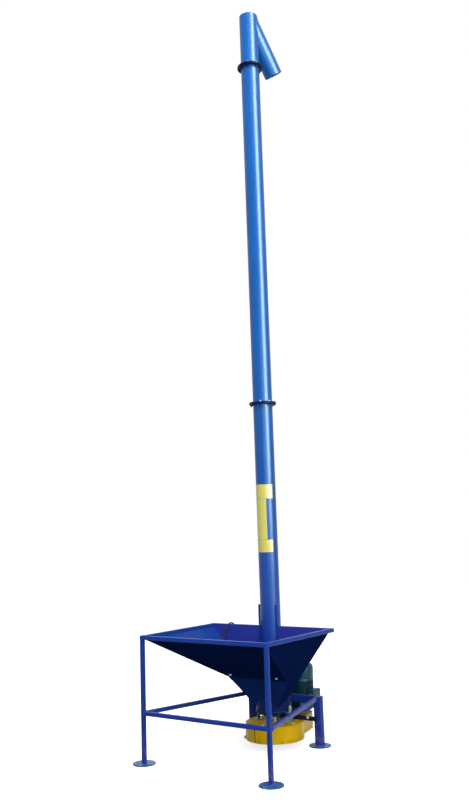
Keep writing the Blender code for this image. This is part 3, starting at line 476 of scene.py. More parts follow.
def disc(bottom, top, radius, ease):
    """The profile of a disc whose edges are eased."""
    return [(bottom, radius - ease), (bottom + ease, radius), (top - ease, radius), (top, radius - ease)]


frame_enamel = enamel("frame_blue_enamel", "222f92", "0f58a6", dust=0.1)
weld_enamel = enamel("painted_weld_beads", "24449c", "2a6ab6", gloss=0.38, bump=0.6)
foot = Finish("scuffed_foot_enamel", roughness=0.3, specular=0.2, tint=(0.5, 0.75, 1))
scuffs = foot.noise(34, 6, (1, 1, 1), 0.65).above(0.52, 0.62)
mud = foot.noise(60, 5).above(0.55, 0.75)
tone = foot.mix(foot.noise(12, 3), hue("143f80"), hue("2365a6"))
tone = foot.layered(tone, (scuffs * 0.4, "93bbd8"), (mud * 0.5, "2b2e3a"))
foot.bump(scuffs * 0.5 + mud, 0.3, 0.001)
foot_enamel = foot.put(base_color=tone, roughness=0.28 + mud * 0.4)
foot_welds = []
for end, radius in (("front", 0.0025), ("rear", 0.004)):
    for hand in ("left", "right"):
        low, high, centre = box_bar(f"leg_{end}_{hand}", 2, radius)
        node = f"foot_{end}_{hand}"
        plate_low, plate_high, spot = middle(node)
        thick = plate_high[2]
        plate = disc(0, thick, (plate_high[0] - plate_low[0]) / 2, 0.0015)
        shapes = [turned(plate, (spot[0], spot[1], 0), sides=72)]
        piece(f"leg_{end}_{hand}_foot_plate", shapes, foot_enamel, [node])
        reach = (high[0] - low[0]) / 2 + 0.0008
        foot_welds.append(square_weld((spot[0], spot[1], thick + 0.001), 2, reach, 0.0026))
piece("leg_foot_welds", foot_welds, weld_enamel)

low, high, centre = box_bar("brace_front", 0)
brace_welds = [square_weld((x, centre[1], centre[2]), 0, 0.0132, 0.002) for x in (low[0], high[0])]
for hand, sign in (("left", -1), ("right", 1)):
    node = f"brace_{hand}"
    low, high, centre = middle(node)
    near, far = sorted(np.abs([low[0], high[0]]))
    outer = np.array((sign * (far - 0.012), low[1] + 0.003, centre[2]))
    inner = np.array((sign * (near + 0.012), high[1] - 0.003, centre[2]))
    piece(node + "_tube", [bar(outer, inner, 0.025, 0.025)], frame_enamel, [node])
    way = unit(inner - outer)
    ring = square_ring(0.0262, 0.0262, 0.0025, 2)
    ring = np.vstack([ring, ring[:1]])
    loop = ring[:, :1] * np.cross(way, (0, 0, 1)) + ring[:, 1:] * np.array((0, 0, 1))
    for spot in (outer + way * 0.0008, inner - way * 0.0008):
        brace_welds.append(weld(spot + loop, 0.002))
low, high, centre = box_bar("rear_crossbar", 0, 0.004)
ring = square_ring(high[1] - low[1] + 0.001, high[2] - low[2] + 0.001, 0.004, 2)
for x in (low[0] + 0.001, high[0] - 0.001):
    loop = [(x, centre[1] + a, centre[2] + b) for a, b in np.vstack([ring, ring[:1]])]
    brace_welds.append(weld(loop, 0.0025))
piece("brace_welds", brace_welds, weld_enamel)

# --- Rim ---
# The hopper's mouth is a square-tube frame, welded at the corners and to the legs. At the back it stops
# against the conveying tube on both sides.

for place, axis in (("front", 0), ("left", 1), ("right", 1), ("back_left", 0), ("back_right", 0)):
    box_bar("rim_" + place, axis)
low, high, _ = middle("rim_front")
rim_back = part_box("rim_back_left")[1][1]
rim_welds = []
for sign in (-1, 1):
    for y in (low[1] + 0.025, rim_back - 0.025):
        line = [(sign * (high[0] - gap), y, high[2] + 0.0002) for gap in (0.0255, 0.0005)]
        rim_welds.append(weld(line, 0.0016))
    for y in (low[1] + 0.0003, low[1] + 0.025):
        line = [(sign * (high[0] - gap), y, low[2] - 0.0008) for gap in (0.024, 0.001)]
        rim_welds.append(weld(line, 0.002))
piece("rim_welds", rim_welds, weld_enamel)

# --- Hopper sheets ---
# Five 2 mm sheets in darker blue enamel, seam-welded along the hips and under the rim. The upper sheets are
# folded at their foot and bolted to the funnel with zinc-plated bolts.


def sheet_enamel(name, low, high):
    """Enamel on thin sheet, dented, with painted shade on the faces that look down: they are darkened
    towards near-black, standing in for the shade under the hopper. Scratches from grain and shovels are
    noises stretched hard along one axis, kept where brightest."""
    made = Finish(name, roughness=0.34, specular=0.0, tint=(0.35, 0.62, 1))
    dents = made.noise(3.2, 1)
    clouds = made.noise(7, 4)
    peel = made.noise(380, 2)
    first = made.noise(150, 3, (0.06, 1.6, 1.0), 0.55).above(0.66, 0.7)
    second = made.noise(120, 3, (1.4, 0.07, 0.3), 0.55).above(0.67, 0.71)
    scratches = (first + second) * made.noise(5, 2).above(0.45, 0.6)
    colours = made.mix(clouds.above(0.3, 0.75) * 0.4, hue(high), hue(low))
    lift = made.lift()
    # Painted shade: faces that look down are darkened towards near-black, and scratches are left off them.
    painted_underside_shade = 1 - lift.above(-0.6, -0.2)
    settled = lift.above(0.15, 0.9) * made.noise(4, 7, (1, 1, 1), 0.62).above(0.42, 0.8) * 0.14
    scraped = scratches * 0.3 * (1 - painted_underside_shade)
    worn = made.layered(colours, (settled, "a39a80"), (painted_underside_shade * 0.6, "04081a"), (scraped, "7f8ba6"))
    made.bump(dents * 6 + peel * 0.12 - scratches * 0.25, 0.35, 0.0014)
    return made.put(base_color=worn, roughness=0.3 + clouds * 0.16 + settled * 0.5 + scratches * 0.15)


hopper_enamel = sheet_enamel("hopper_sheet_enamel", "16388a", "1e469a")
# Painted shade: the back sheets take the same sheet paint, coloured darker and more violet, standing in for
# the dimmer light on the back wall.
back_shade_enamel = sheet_enamel("hopper_back_enamel", "2b378e", "323c9a")
sheets = ("front_sheet", "left_sheet", "right_sheet", "back_sheet_left", "back_sheet_right")
for node in [*("hopper_" + name for name in sheets), "lower_funnel"]:
    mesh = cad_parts[node].data
    mesh.materials.clear()
    mesh.materials.append(back_shade_enamel if "back" in node else hopper_enamel)

seam_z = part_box("lower_funnel")[1][2]
side_low, side_high, _ = middle("hopper_right_sheet")
front_low, front_high, _ = middle("hopper_front_sheet")
seam_x, mouth_x = side_low[0], side_high[0] - 0.00254
seam_y, mouth_y = front_high[1], front_low[1] + 0.00434
panel_top, edge_top = front_high[2], front_high[2] + 0.0006
back_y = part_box("hopper_back_sheet_left")[0][1]
behind = back_y - 0.001
seams = [
    ((mouth_x, mouth_y, panel_top), (seam_x, seam_y, seam_z), 0.0019),
    ((mouth_x - 0.001, behind, panel_top), (seam_x, behind, seam_z), 0.0019),
    ((mouth_x + 0.0027, mouth_y - 0.002, panel_top), (seam_x + 0.0027, seam_y - 0.002, seam_z), 0.0021),
    ((mouth_x + 0.0024, mouth_y - 0.002, edge_top), (mouth_x + 0.0024, behind, edge_top), 0.0024),
]
hip_welds = [weld(np.array(ends) * (sign, 1, 1), bead) for sign in (-1, 1) for *ends, bead in seams]
hip_welds.append(weld([(x, mouth_y - 0.0038, edge_top) for x in (-mouth_x, mouth_x)], 0.0026))
piece("hopper_welds", hip_welds, hopper_enamel)


def strip(corners, outward):
    """A flat strip 2 mm thick: four corners, and the same four moved outward."""
    return skin(np.stack([corners, np.asarray(corners) + np.asarray(outward) * 0.002]))


# The upper sheets' folded feet make a collar, which laps 26 mm down over the funnel on three sides. Its
# strips lean inward with the funnel, whose throat is 65 mm to each side of the axis and 72 mm before it.
throat_half, throat_front, seam_front, lap = 0.065, 0.072, 0.188, 0.026
funnel_tall = seam_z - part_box("lower_funnel")[0][2]
inward = np.array((throat_half - seam_x, seam_front - throat_front, -funnel_tall)) / funnel_tall
lip = np.array((seam_x + 0.0034, seam_y - 0.003, seam_z))
(wx, wy, wz), (fx, fy, fz) = (lip + inward * drop for drop in (0.0012, lap))
collar = [strip([(-wx, wy, wz), (wx, wy, wz), (fx, fy, fz), (-fx, fy, fz)], (0, -1, 0))]
for sign in (-1, 1):
    corners = [(wx, wy, wz), (wx, back_y, wz), (fx, back_y, fz), (fx, fy, fz)]
    collar.append(strip(np.array(corners) * (sign, 1, 1), (sign, 0, 0)))
piece("funnel_collar", collar, hopper_enamel)

zinc = Finish("zinc_plated_bolts", metallic=0.9, roughness=0.28)
tone = zinc.mix(zinc.noise(90, 3), hue("b9c4cc"), hue("8e9aa6"))
tone = zinc.layered(tone, (zinc.noise(35, 4).above(0.55, 0.7) * 0.5, "6e6a5c"))
zinc.bump(zinc.noise(500, 2), 0.15, 0.0002)
zinc_bolt = zinc.put(base_color=tone, roughness=0.24 + zinc.noise(40) * 0.2)


def hex_bolt(at, way, across=0.013, head=0.0055):
    """A hexagon head on a washer. The head is six-sided rings: flat, full, and drawn in at its chamfer."""
    washer = [(0, across * 0.8), (0.0002, across * 0.84), (0.0012, across * 0.84), (0.0014, across * 0.8)]
    corner = across / math.sqrt(3)
    shares = ((0, 1), (0.8, 1), (0.96, 0.93), (1, 0.82))
    hexagon = [(0.0014 + head * rise, corner * width) for rise, width in shares]
    return [turned(washer, at, way, 28), turned(hexagon, at, way, 6)]


front_out = unit((0, seam_z - panel_top, mouth_y - seam_y))
rise = 0.026
bolt_y = seam_y - rise * (seam_y - mouth_y) / (panel_top - seam_z)
seam_bolts = []
for x in (-0.187, 0.187):
    seam_bolts += hex_bolt(np.array((x, bolt_y, seam_z + rise)) + front_out * 0.0021, front_out)
piece("hopper_seam_bolts", seam_bolts, zinc_bolt)

# --- Boot ---
# A round pan with a welded floor closes the screw's foot under the funnel. The cast bearing housing is
# bolted to the floor from below.

boot_enamel = enamel("boot_blue_enamel", "1a2868", "1a2868", dust=0.1, gloss=0.4, specular=0.05)


def round_normals(mesh, centre, way):
    """The corner normals that the function below describes."""

    def read(items, key, width, kind=float):
        values = np.empty(len(items) * width, kind)
        items.foreach_get(key, values)
        return values.reshape(-1, width)

    corner = read(mesh.loops, "vertex_index", 1, int)[:, 0]
    sides = read(mesh.polygons, "loop_total", 1, int)[:, 0]
    flat = np.repeat(read(mesh.polygons, "normal", 3), sides, 0)
    smooth = read(mesh.corner_normals, "vector", 3)
    way = unit(way)
    arm = read(mesh.vertices, "co", 3)[corner] - centre
    arm -= (arm @ way)[:, None] * way
    arm /= np.maximum(np.linalg.norm(arm, axis=1), 1e-9)[:, None]
    lean = flat @ way
    across = flat - lean[:, None] * way
    length = np.linalg.norm(across, axis=1)
    facing = np.einsum("ij,ij->i", across, arm) / np.maximum(length, 1e-9)
    round_one = (length > 0.05) & (np.abs(facing) > math.cos(math.radians(9)))
    turned_normal = np.sign(facing)[:, None] * arm * length[:, None] + lean[:, None] * way
    return np.where(round_one[:, None], turned_normal, smooth).tolist()


def smoothed(node, finish, body="frame", centre=(0, AXIS_Y, 0), way=(0, 0, 1), crease=30):
    """A copy of a CAD node with its loose triangles merged and its turned faces shaded truly round.

    Normals: a face whose normal leans no more than 9 degrees from the plane through the axis and its
    corner takes that plane's direction at the corner and keeps its own lean along the axis. Any other
    face, and every face of a node with no centre, is smoothed up to the crease angle.
    """
    name = node + "_smooth"
    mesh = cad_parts[node].data.copy()
    mesh.name = name
    cleaned(mesh, 2e-6, crease, outward=False)
    if centre is not None:
        mesh.normals_split_custom_set(round_normals(mesh, centre, way))
    return placed(name, mesh, finish, [node], body)


smoothed("boot", boot_enamel)
smoothed("boot_floor", boot_enamel)
boot_radius, floor_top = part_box("boot")[1][0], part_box("boot_floor")[1][2]
boot_weld = round_weld(floor_top + 0.001, boot_radius + 0.0008, 0.002)
piece("boot_weld", [boot_weld], weld_enamel)


def arc_at(radius, z, t, axis_y=AXIS_Y):
    """Points (radius cos t, radius sin t, z) round an upright axis."""
    return np.column_stack([np.cos(t) * radius, np.sin(t) * radius + axis_y, np.full(len(t), z)])


def patch(inner, outer, bottom, top, t, axis_y=AXIS_Y):
    """A plate bent round an upright axis: the angles t, between two radii and two heights."""
    corners = ((inner, bottom), (outer, bottom), (outer, top), (inner, top))
    return skin(np.array([arc_at(radius, z, t, axis_y) for radius, z in corners]).transpose(1, 0, 2))


cast_enamel = enamel("bearing_casting_enamel", "1d4f8e", "1d4f8e", gloss=0.42, bump=1.0, dust=0.3)
flange_half, _, plate_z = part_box("lower_bearing_housing")[1]
stations = []
for drop, inset in ((0.0, 0.0), (0.0115, 0.0), (0.0138, 0.002)):
    ring = square_ring(2 * (flange_half - inset), 2 * (flange_half - inset), 0.024 - inset, 8)
    stations.append(np.column_stack([ring + (0, AXIS_Y), np.full(len(ring), plate_z - drop)]))
t = np.arctan2(stations[0][:, 1] - AXIS_Y, stations[0][:, 0])
outside = [(0.0142, 0.056), (0.018, 0.0475), (0.036, 0.0452), (0.0378, 0.0432)]
bore = [(0.0378, 0.0405), (0.002, 0.0405), (0, 0.0405)]
stations += [arc_at(radius, plate_z - drop, t) for drop, radius in outside + bore]
casting = [skin(np.array(stations), ring=True)]
piece("bearing_casting", casting, cast_enamel, ["lower_bearing_housing"], 28)
steel = Finish("ground_bearing_steel", metallic=1.0, roughness=0.25)
steel.bump(steel.noise(300, 2, (1, 1, 8)), 0.12, 0.0003)
bearing_steel = steel.put(base_color=steel.mix(steel.noise(50, 3), hue("b8b8ba"), hue("7c7a78")))
smoothed("lower_bearing", bearing_steel)
smoothed("upper_bearing", bearing_steel)
housing_bolts = []
for x, y in SQUARE[:4] * 0.051:
    housing_bolts += hex_bolt((x, AXIS_Y + y, plate_z - 0.0138), (0, 0, -1), 0.018, 0.008)
piece("bearing_housing_bolts", housing_bolts, cast_enamel)

# --- Conveying tube ---
# Standard 139.7 mm pipe in three lengths, joined by flanges with eight bolts each and sprayed in a glossier
# blue than the frame. The spout is welded to the head at a slant and a plate closes the top.

tube_enamel = enamel(
    "tube_blue_enamel", "223294", "0c59a8", gloss=0.25, bump=0.08, specular=0.4, sheen=(0.5, 0.75, 1)
)
flange_enamel = enamel(
    "flange_dark_enamel", "0a1434", "0a1434", gloss=0.4, dust=0.1, flakes=0.2, specular=0.15
)
tube_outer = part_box("upper_tube")[1][0]
tube_inner = tube_outer - 0.0032
AXIS = (0, AXIS_Y, 0)


def pipe(bottom, top):
    """A pipe wall round the screw's axis."""
    wall = [(bottom, tube_outer), (top, tube_outer), (top, tube_inner), (bottom, tube_inner)]
    return turned(wall, AXIS, ring=True)


# The lower tube is open at the front below the window's top, where the hopper feeds the screw.
low, high, _ = middle("lower_tube")
window_top = 0.42
edge = math.asin((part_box("tube_tie_bar_left")[0][1] - AXIS_Y) / tube_outer)
trough = patch(tube_inner, tube_outer, low[2], window_top, np.linspace(edge, math.pi - edge, 40))
lower_shapes = [pipe(window_top, high[2]), trough]
piece("lower_tube_pipe", lower_shapes, tube_enamel, ["lower_tube"])
low, high, _ = middle("upper_tube")
piece("upper_tube_pipe", [pipe(low[2], high[2])], tube_enamel, ["upper_tube"])
smoothed("head_tube", tube_enamel)

flange_bolts, flange_nuts, flange_welds = [], [], []
bore, bolt_circle = tube_outer + 0.0004, 0.0845
shank = [(-0.0075, 0.0038), (-0.014, 0.0038), (-0.0145, 0.0034)]
lower_joint = ("lower_tube_top_flange", "upper_tube_foot_flange")
upper_joint = ("upper_tube_top_flange", "head_foot_flange")
for joint in (lower_joint, upper_joint):
    for node in joint:
        low, high, _ = middle(node)
        profile = [(low[2], bore), *disc(low[2], high[2], high[0], 0.0012), (high[2], bore)]
        piece(node + "_ring", [turned(profile, AXIS, ring=True)], flange_enamel, [node])
    foot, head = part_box(joint[0])[0][2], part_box(joint[1])[1][2]
    for height in (foot - 0.0012, head + 0.0012):
        flange_welds.append(round_weld(height, tube_outer + 0.0012, 0.0024))
    for spot in arc_at(bolt_circle, 0, turns(8) + math.pi / 8):
        flange_bolts += hex_bolt(spot + (0, 0, head), (0, 0, 1), 0.013, 0.0065)
        flange_nuts += hex_bolt(spot + (0, 0, foot), (0, 0, -1), 0.013, 0.0075)
        flange_nuts.append(turned(shank, spot + (0, 0, foot), sides=12))
piece("tube_flange_bolts", flange_bolts, zinc_bolt)
piece("tube_flange_nuts", flange_nuts, flange_enamel)
piece("tube_flange_welds", flange_welds, weld_enamel)

low, high, _ = middle("head_cap")
cap = [
    (low[2], tube_outer - 0.001), (low[2] + 0.0008, tube_outer),
    (high[2] - 0.0015, tube_outer), (high[2], tube_outer - 0.0015),
]
piece("head_cap_plate", [turned(cap, AXIS)], tube_enamel, ["head_cap"])

# The spout's weld follows the line where two equal pipes of radius R cross: for each angle t round the
# spout, the point runs along the spout until it is R from the tube's axis.
turn, tilt, spout_z = math.radians(75), math.radians(33), 5.342
flat_way = np.array((math.cos(turn), math.sin(turn), 0))
way = flat_way * math.sin(tilt) - (0, 0, math.cos(tilt))
cross_way = unit(np.cross(way, flat_way))
up_from = np.cross(cross_way, way)
smoothed("discharge_spout", tube_enamel, centre=(0, AXIS_Y, spout_z), way=way)
t = np.linspace(0, 2 * math.pi, 160)
offset = tube_outer * (np.cos(t)[:, None] * cross_way + np.sin(t)[:, None] * up_from)
side_part = offset @ np.cross(flat_way, (0, 0, 1))
needed = np.sqrt(np.maximum((tube_outer + 0.0006) ** 2 - side_part**2, 0)) - offset @ flat_way
line = offset + (needed / (way @ flat_way))[:, None] * way + (0, AXIS_Y, spout_z)
keep = line[:, 2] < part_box("head_tube")[1][2] - 0.002
first = int(np.argmax(~keep))
order = np.roll(np.arange(len(t) - 1), -first)
line = line[order][keep[order]]
piece("spout_weld", [weld(line, 0.003, 0.0045)], weld_enamel)

# --- Tie bars ---
# Two flat bars are welded up the tube's sides and down the front of the back sheets, so the tube stands
# upright in the rim.

tie_welds = []
for hand, sign in (("left", -1), ("right", 1)):
    node = f"tube_tie_bar_{hand}"
    low, high, centre = middle(node)
    path = [(centre[0], centre[1], z) for z in (low[2], high[2])]
    shapes = [skin(carried(path, square_ring(high[1] - low[1], high[0] - low[0], 0.0012, 3)))]
    piece(node + "_flat", shapes, frame_enamel, [node])
    inner, outer = sorted(np.abs([low[0], high[0]]))
    seam = [(sign * (inner - 0.0001), low[1] + 0.0052, z) for z in (low[2] + 0.001, high[2] - 0.001)]
    tie_welds.append(weld(seam, 0.0013, 0.006))
    for start in np.arange(0.45, high[2] - 0.03, 0.12):
        stitch = [(sign * (inner + 0.0006), low[1] + 0.0004, z) for z in (start, start + 0.03)]
        tie_welds.append(weld(stitch, 0.002))
        if start < 0.66:
            stitch = [(sign * (outer + 0.0002), high[1] - 0.0004, z) for z in (start + 0.05, start + 0.075)]
            tie_welds.append(weld(stitch, 0.0016))
piece("tie_bar_welds", tie_welds, weld_enamel)

# --- Stickers ---
# Three pieces of yellow film, left blank, stuck round the front of the lower tube.


def film(bottom, top, first, last, outer=tube_outer + 0.0005, thick=0.0004):
    """A thin patch bent round the screw's axis, between two heights and two angles in degrees."""
    return patch(outer - thick, outer, bottom, top, np.radians(np.linspace(first, last, 24)))


vinyl = Finish("yellow_vinyl_film", roughness=0.3, coat=0.2)
faded = vinyl.noise(9, 3)
vinyl.bump(vinyl.noise(55, 2) * 0.6 + vinyl.noise(300) * 0.1, 0.2, 0.0008)
soiled = vinyl.mix(vinyl.noise(38, 5).above(0.55, 0.8) * 0.3, hue("d0ca58"), hue("a8a06c"))
tone = vinyl.mix(faded * 0.3, soiled, hue("dcd784"))
yellow_film = vinyl.put(base_color=tone, roughness=0.28 + faded * 0.15)
stickers = [(1.675, 1.774, -156, -15), (1.391, 1.6735, -140, -57), (1.303, 1.3895, -140, -25)]
for place, edges in zip(("upper", "middle", "lower"), stickers, strict=True):
    piece(place + "_sticker", [film(*edges)], yellow_film)

# --- Screw ---
# A solid shaft with helical flighting welded on, rubbed bright along its length by grain and rusty towards
# its foot, where the noise that makes the rust counts for more.

screw = Finish("worn_screw_steel", metallic=0.9, roughness=0.36)
rubs = screw.noise(80, 3, (1, 1, 0.2))
rusty = screw.noise(30, 6).above(0.5, 0.66) * (1 - screw.along(2).above(0.1, 1.2) * 0.6)
tone = screw.mix(screw.noise(12, 4), hue("9a9a9c"), hue("646260"))
tone = screw.layered(tone, (rusty * 0.7, "6b3d22"))
screw.bump(rubs * 0.5 + rusty * 0.8, 0.3, 0.0005)
rough = 0.3 + rubs * 0.15 + rusty * 0.35
screw_steel = screw.put(base_color=tone, roughness=rough, metallic=0.95 - rusty * 0.6)
smoothed("auger_shaft", screw_steel, body="auger")
smoothed("auger_flighting", screw_steel, body="auger", crease=40)

# --- Motor ---
# A three-phase motor stands on its flange. Its cast housing has cooling fins, the sheet-steel cover over the
# fan has slots, and the terminal box on its right takes the supply cable through a gland.


def hammer_enamel(name, low, high, peel=0.5):
    """Teal machine enamel over a casting: a pebbled bump, and grime in patches."""
    made = Finish(name, roughness=0.38, specular=0.2, tint=(0.4, 0.8, 1))
    clouds = made.noise(9, 3)
    pebbles = made.noise(240, 3)
    grime = made.noise(26, 5).above(0.52, 0.78)
    tone = made.mix(clouds, hue(low), hue(high))
    made.bump(pebbles * 0.6 + clouds * 0.4, peel, 0.0009)
    return made.put(base_color=made.mix(grime * 0.3, tone, hue("4a4a40")), roughness=0.34 + grime * 0.3)


motor_enamel = hammer_enamel("motor_teal_enamel", "042630", "062f3c")
cover_enamel = hammer_enamel("fan_cover_teal_enamel", "0b3a46", "0e4654", 0.2)
low, high, _ = middle("motor_housing")
motor_radius, tall = high[0], high[2] - low[2]
FINS = 36


def finned(d, t):
    """Cooling fins: the radius stands at full on narrow ridges and 11% in between them, and runs out
    smoothly to a plain band at both ends."""
    ridge = np.clip((np.cos(FINS * t) - 0.1) * 3.2, 0, 1)
    ends = np.clip((d - 0.008) / 0.006, 0, 1) * np.clip((tall - 0.016 - d) / 0.006, 0, 1)
    return 1 - 0.11 * (1 - ridge) * ends


heights = [0.0015, 0.008, 0.011, 0.014, tall * 0.5, tall - 0.022, tall - 0.019, tall - 0.016, tall - 0.0015]
rims = [(z, motor_radius - 0.0015) for z in (0, tall)]
body = [rims[0], *((z, motor_radius) for z in heights), rims[1]]
body_shape = turned(body, (0, MOTOR_Y, low[2]), sides=FINS * 12, ribs=finned)
piece("motor_finned_housing", [body_shape], motor_enamel, ["motor_housing"], 45)
low, high, _ = middle("motor_end_shield")
tall = high[2] - low[2]
shield = [
    (0, 0.1), (0.0095, 0.1), (0.0105, 0.099), (0.011, 0.092), (0.0125, 0.0905),
    (tall - 0.0004, 0.0905), (tall, 0.09),
]
shapes = [turned(shield, (0, MOTOR_Y, low[2]))]
piece("motor_flange_shield", shapes, motor_enamel, ["motor_end_shield"])
quarters = turns(4) + math.pi / 4
shield_bolts = []
for spot in arc_at(0.0825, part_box("motor_bracket")[0][2] + 0.0009, quarters, MOTOR_Y):
    shield_bolts += hex_bolt(spot, (0, 0, -1), 0.017, 0.0075)
low, high, _ = middle("fan_cover")
cover_radius, cover_foot, cover_top = high[0], low[2], high[2]
tall = cover_top - cover_foot
rounding = [(0.032, 0), (0.018, 0.0028), (0.008, 0.01), (0.002, 0.022), (0, 0.032)]
cover_profile = [
    (0, cover_radius - 0.0006), (0.0008, cover_radius), (0.006, cover_radius),
    (0.0075, cover_radius - 0.0008), (0.009, cover_radius),
    *((tall - drop, cover_radius - inset) for drop, inset in rounding),
    (tall, 0.06), (tall - 0.0022, 0.0575), (tall - 0.0022, 0.02), (tall - 0.0006, 0.018),
    (tall - 0.0004, 0.002),
]
cover_shape = turned(cover_profile, (0, MOTOR_Y, cover_foot))
piece("motor_fan_cover", [cover_shape], cover_enamel, ["fan_cover"])
# The slots are not cut through: black patches on the cover's dished end are painted shadow standing for the
# openings.
slots = Finish("fan_cover_slot_shadow", roughness=0.9)
slots.bump(slots.noise(200), 0.1, 0.0002)
slot_painted_shadow = slots.put(base_color=slots.mix(slots.noise(60), hue("050607"), hue("0d0f10")))
slot_shapes = []
dish, half_width = cover_top - 0.0023, 0.0032
for radius, count in ((0.026, 12), (0.036, 18), (0.046, 24)):
    spread = 0.62 * math.pi / count
    for angle in turns(count):
        t = np.linspace(angle - spread, angle + spread, 7)
        inner, outer = radius - half_width, radius + half_width
        slot_shapes.append(patch(inner, outer, dish, dish + 0.0003, t, MOTOR_Y))
piece("fan_cover_slots", slot_shapes, slot_painted_shadow)
cover_screws = []
screw = [(0, 0.004), (0.0016, 0.004), (0.0024, 0.003), (0.0026, 0.001)]
for spot in arc_at(cover_radius - 0.0008, cover_foot + 0.016, quarters, MOTOR_Y):
    cover_screws.append(turned(screw, spot, (spot[0], spot[1] - MOTOR_Y, 0), 20))

low, high, centre = middle("terminal_box")
box_long, tall = 0.1, high[2] - low[2]
lid_x, box_y = high[0] - 0.01, high[1] - box_long / 2
steps = [
    (low[0], 0), (lid_x - 0.0012, 0), (lid_x - 0.0006, 0.0012), (lid_x, 0.0012), (lid_x + 0.0006, 0),
    (high[0] - 0.003, 0), (high[0] - 0.0008, 0.001), (high[0], 0.0035),
]
rows = []
for x, inset in steps:
    ring = square_ring(box_long - 2 * inset, tall - 2 * inset, 0.008 - inset, 6)
    rows.append(np.column_stack([np.full(len(ring), x), ring + (box_y, centre[2])]))
piece("motor_terminal_box", [skin(np.array(rows))], cover_enamel, ["terminal_box"])
screw = [(0, 0.0032), (0.0012, 0.0032), (0.0019, 0.0024), (0.002, 0.0006)]
for y, z in SQUARE[:4] * (0.04, 0.0235):
    spot = (high[0] - 0.0004, box_y + y, centre[2] + z)
    cover_screws.append(turned(screw, spot, (1, 0, 0), 16))
piece("motor_cover_screws", cover_screws, motor_enamel)
gland_black = rubber_finish("cable_gland_nylon", "1b1c1e", "4a4844")
gland_at = (CABLE_ROUTE[0][0], high[1] - box_long + 0.0004, CABLE_ROUTE[0][2])
base = [(0, 0.0108), (0.0005, 0.0114), (0.0065, 0.0114), (0.007, 0.0108)]
nut = [(0.007, 0.009), (0.0082, 0.01), (0.015, 0.0098), (0.0195, 0.0078), (0.0218, 0.006)]
gland = [turned(base, gland_at, (0, -1, 0), 6), turned(nut, gland_at, (0, -1, 0), 36)]
piece("cable_gland", gland, gland_black, crease=30)

smoothed("motor_bracket", frame_enamel)
piece("motor_flange_bolts", shield_bolts, zinc_bolt)
stack = Finish("stator_laminations", metallic=0.8, roughness=0.5)
layers = (stack.along(2) * 9000).wave()
stack.bump(layers, 0.3, 0.0002)
stator_steel = stack.put(base_color=stack.mix(layers.above(-1, 1), hue("4c4c50"), hue("6f6f73")))
MOTOR_AT = (0, MOTOR_Y, 0)
smoothed("motor_stator", stator_steel, centre=MOTOR_AT)
smoothed("motor_rotor", screw_steel, body="motor_rotor", centre=MOTOR_AT)
fan_black = rubber_finish("fan_black_nylon", "17181a", "3a3936")
smoothed("motor_fan", fan_black, body="motor_rotor", centre=MOTOR_AT)

# --- Belt drive ---
# Two cast-iron V-pulleys and one belt: the small one on the motor's shaft, the large one on the screw's.

iron = Finish("turned_cast_iron", metallic=0.85, roughness=0.42)
rust_spots = iron.noise(34, 6).above(0.55, 0.7)
iron.bump(iron.noise(160, 2, (1, 1, 5)) * 0.5 + rust_spots, 0.3, 0.0005)
tone = iron.mix(iron.noise(14, 3), hue("5a5a5e"), hue("3c3c40"))
tone = iron.layered(tone, (rust_spots * 0.5, "5c3a26"))
cast_iron = iron.put(base_color=tone, roughness=0.36 + rust_spots * 0.35)
smoothed("auger_pulley", cast_iron, body="auger", centre=None)
smoothed("motor_pulley", cast_iron, body="motor_rotor", centre=None)
belt_rubber = rubber_finish("v_belt_rubber", "161616", "3d3a36")
smoothed("v_belt", belt_rubber)

# --- Belt guard ---
# A yellow sheet-steel drum: a flat top with a welded skirt round it, open below. A flat bar across the rear
# legs and two zinc-plated straps from the boot's floor carry it. Dark strips over the skirt's two seams are
# painted shadow, standing in for the dark lines of the open seams.

guard = Finish("guard_yellow_enamel", roughness=0.32, specular=0.2, tint=(1, 0.85, 0.3))
clouds = guard.noise(6, 4)
streaks = guard.noise(30, 4, (1, 1, 0.15))
dirt = (1 - guard.along(2).above(0.054, 0.09)) * guard.noise(36, 5).above(0.4, 0.7)
chips = guard.noise(75, 6, (1, 1, 1), 0.65).above(0.73, 0.745)
settled = guard.lift().above(0.5, 0.95) * guard.noise(18, 5).above(0.35, 0.75)
tone = guard.mix(clouds.above(0.3, 0.75) * 0.4, hue("ffd002"), hue("e6b402"))
tone = guard.layered(tone, (streaks.above(0.55, 0.8) * 0.3, "ffe018"), (settled * 0.2, "96882c"))
tone = guard.layered(tone, (dirt * 0.5, "5f5324"), (chips * 0.8, "3e3a30"))
guard.bump(guard.noise(420) * 0.2 + streaks * 0.3 + guard.noise(5, 1) * 3 - chips, 0.3, 0.0012)
rough = 0.3 + clouds * 0.15 + settled * 0.3 + dirt * 0.3
guard_yellow = guard.put(base_color=tone, roughness=rough)
for node in ("guard_top", "guard_skirt"):
    smoothed(node, guard_yellow, centre=None)
guard_low, guard_high = (corner[2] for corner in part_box("guard_skirt"))
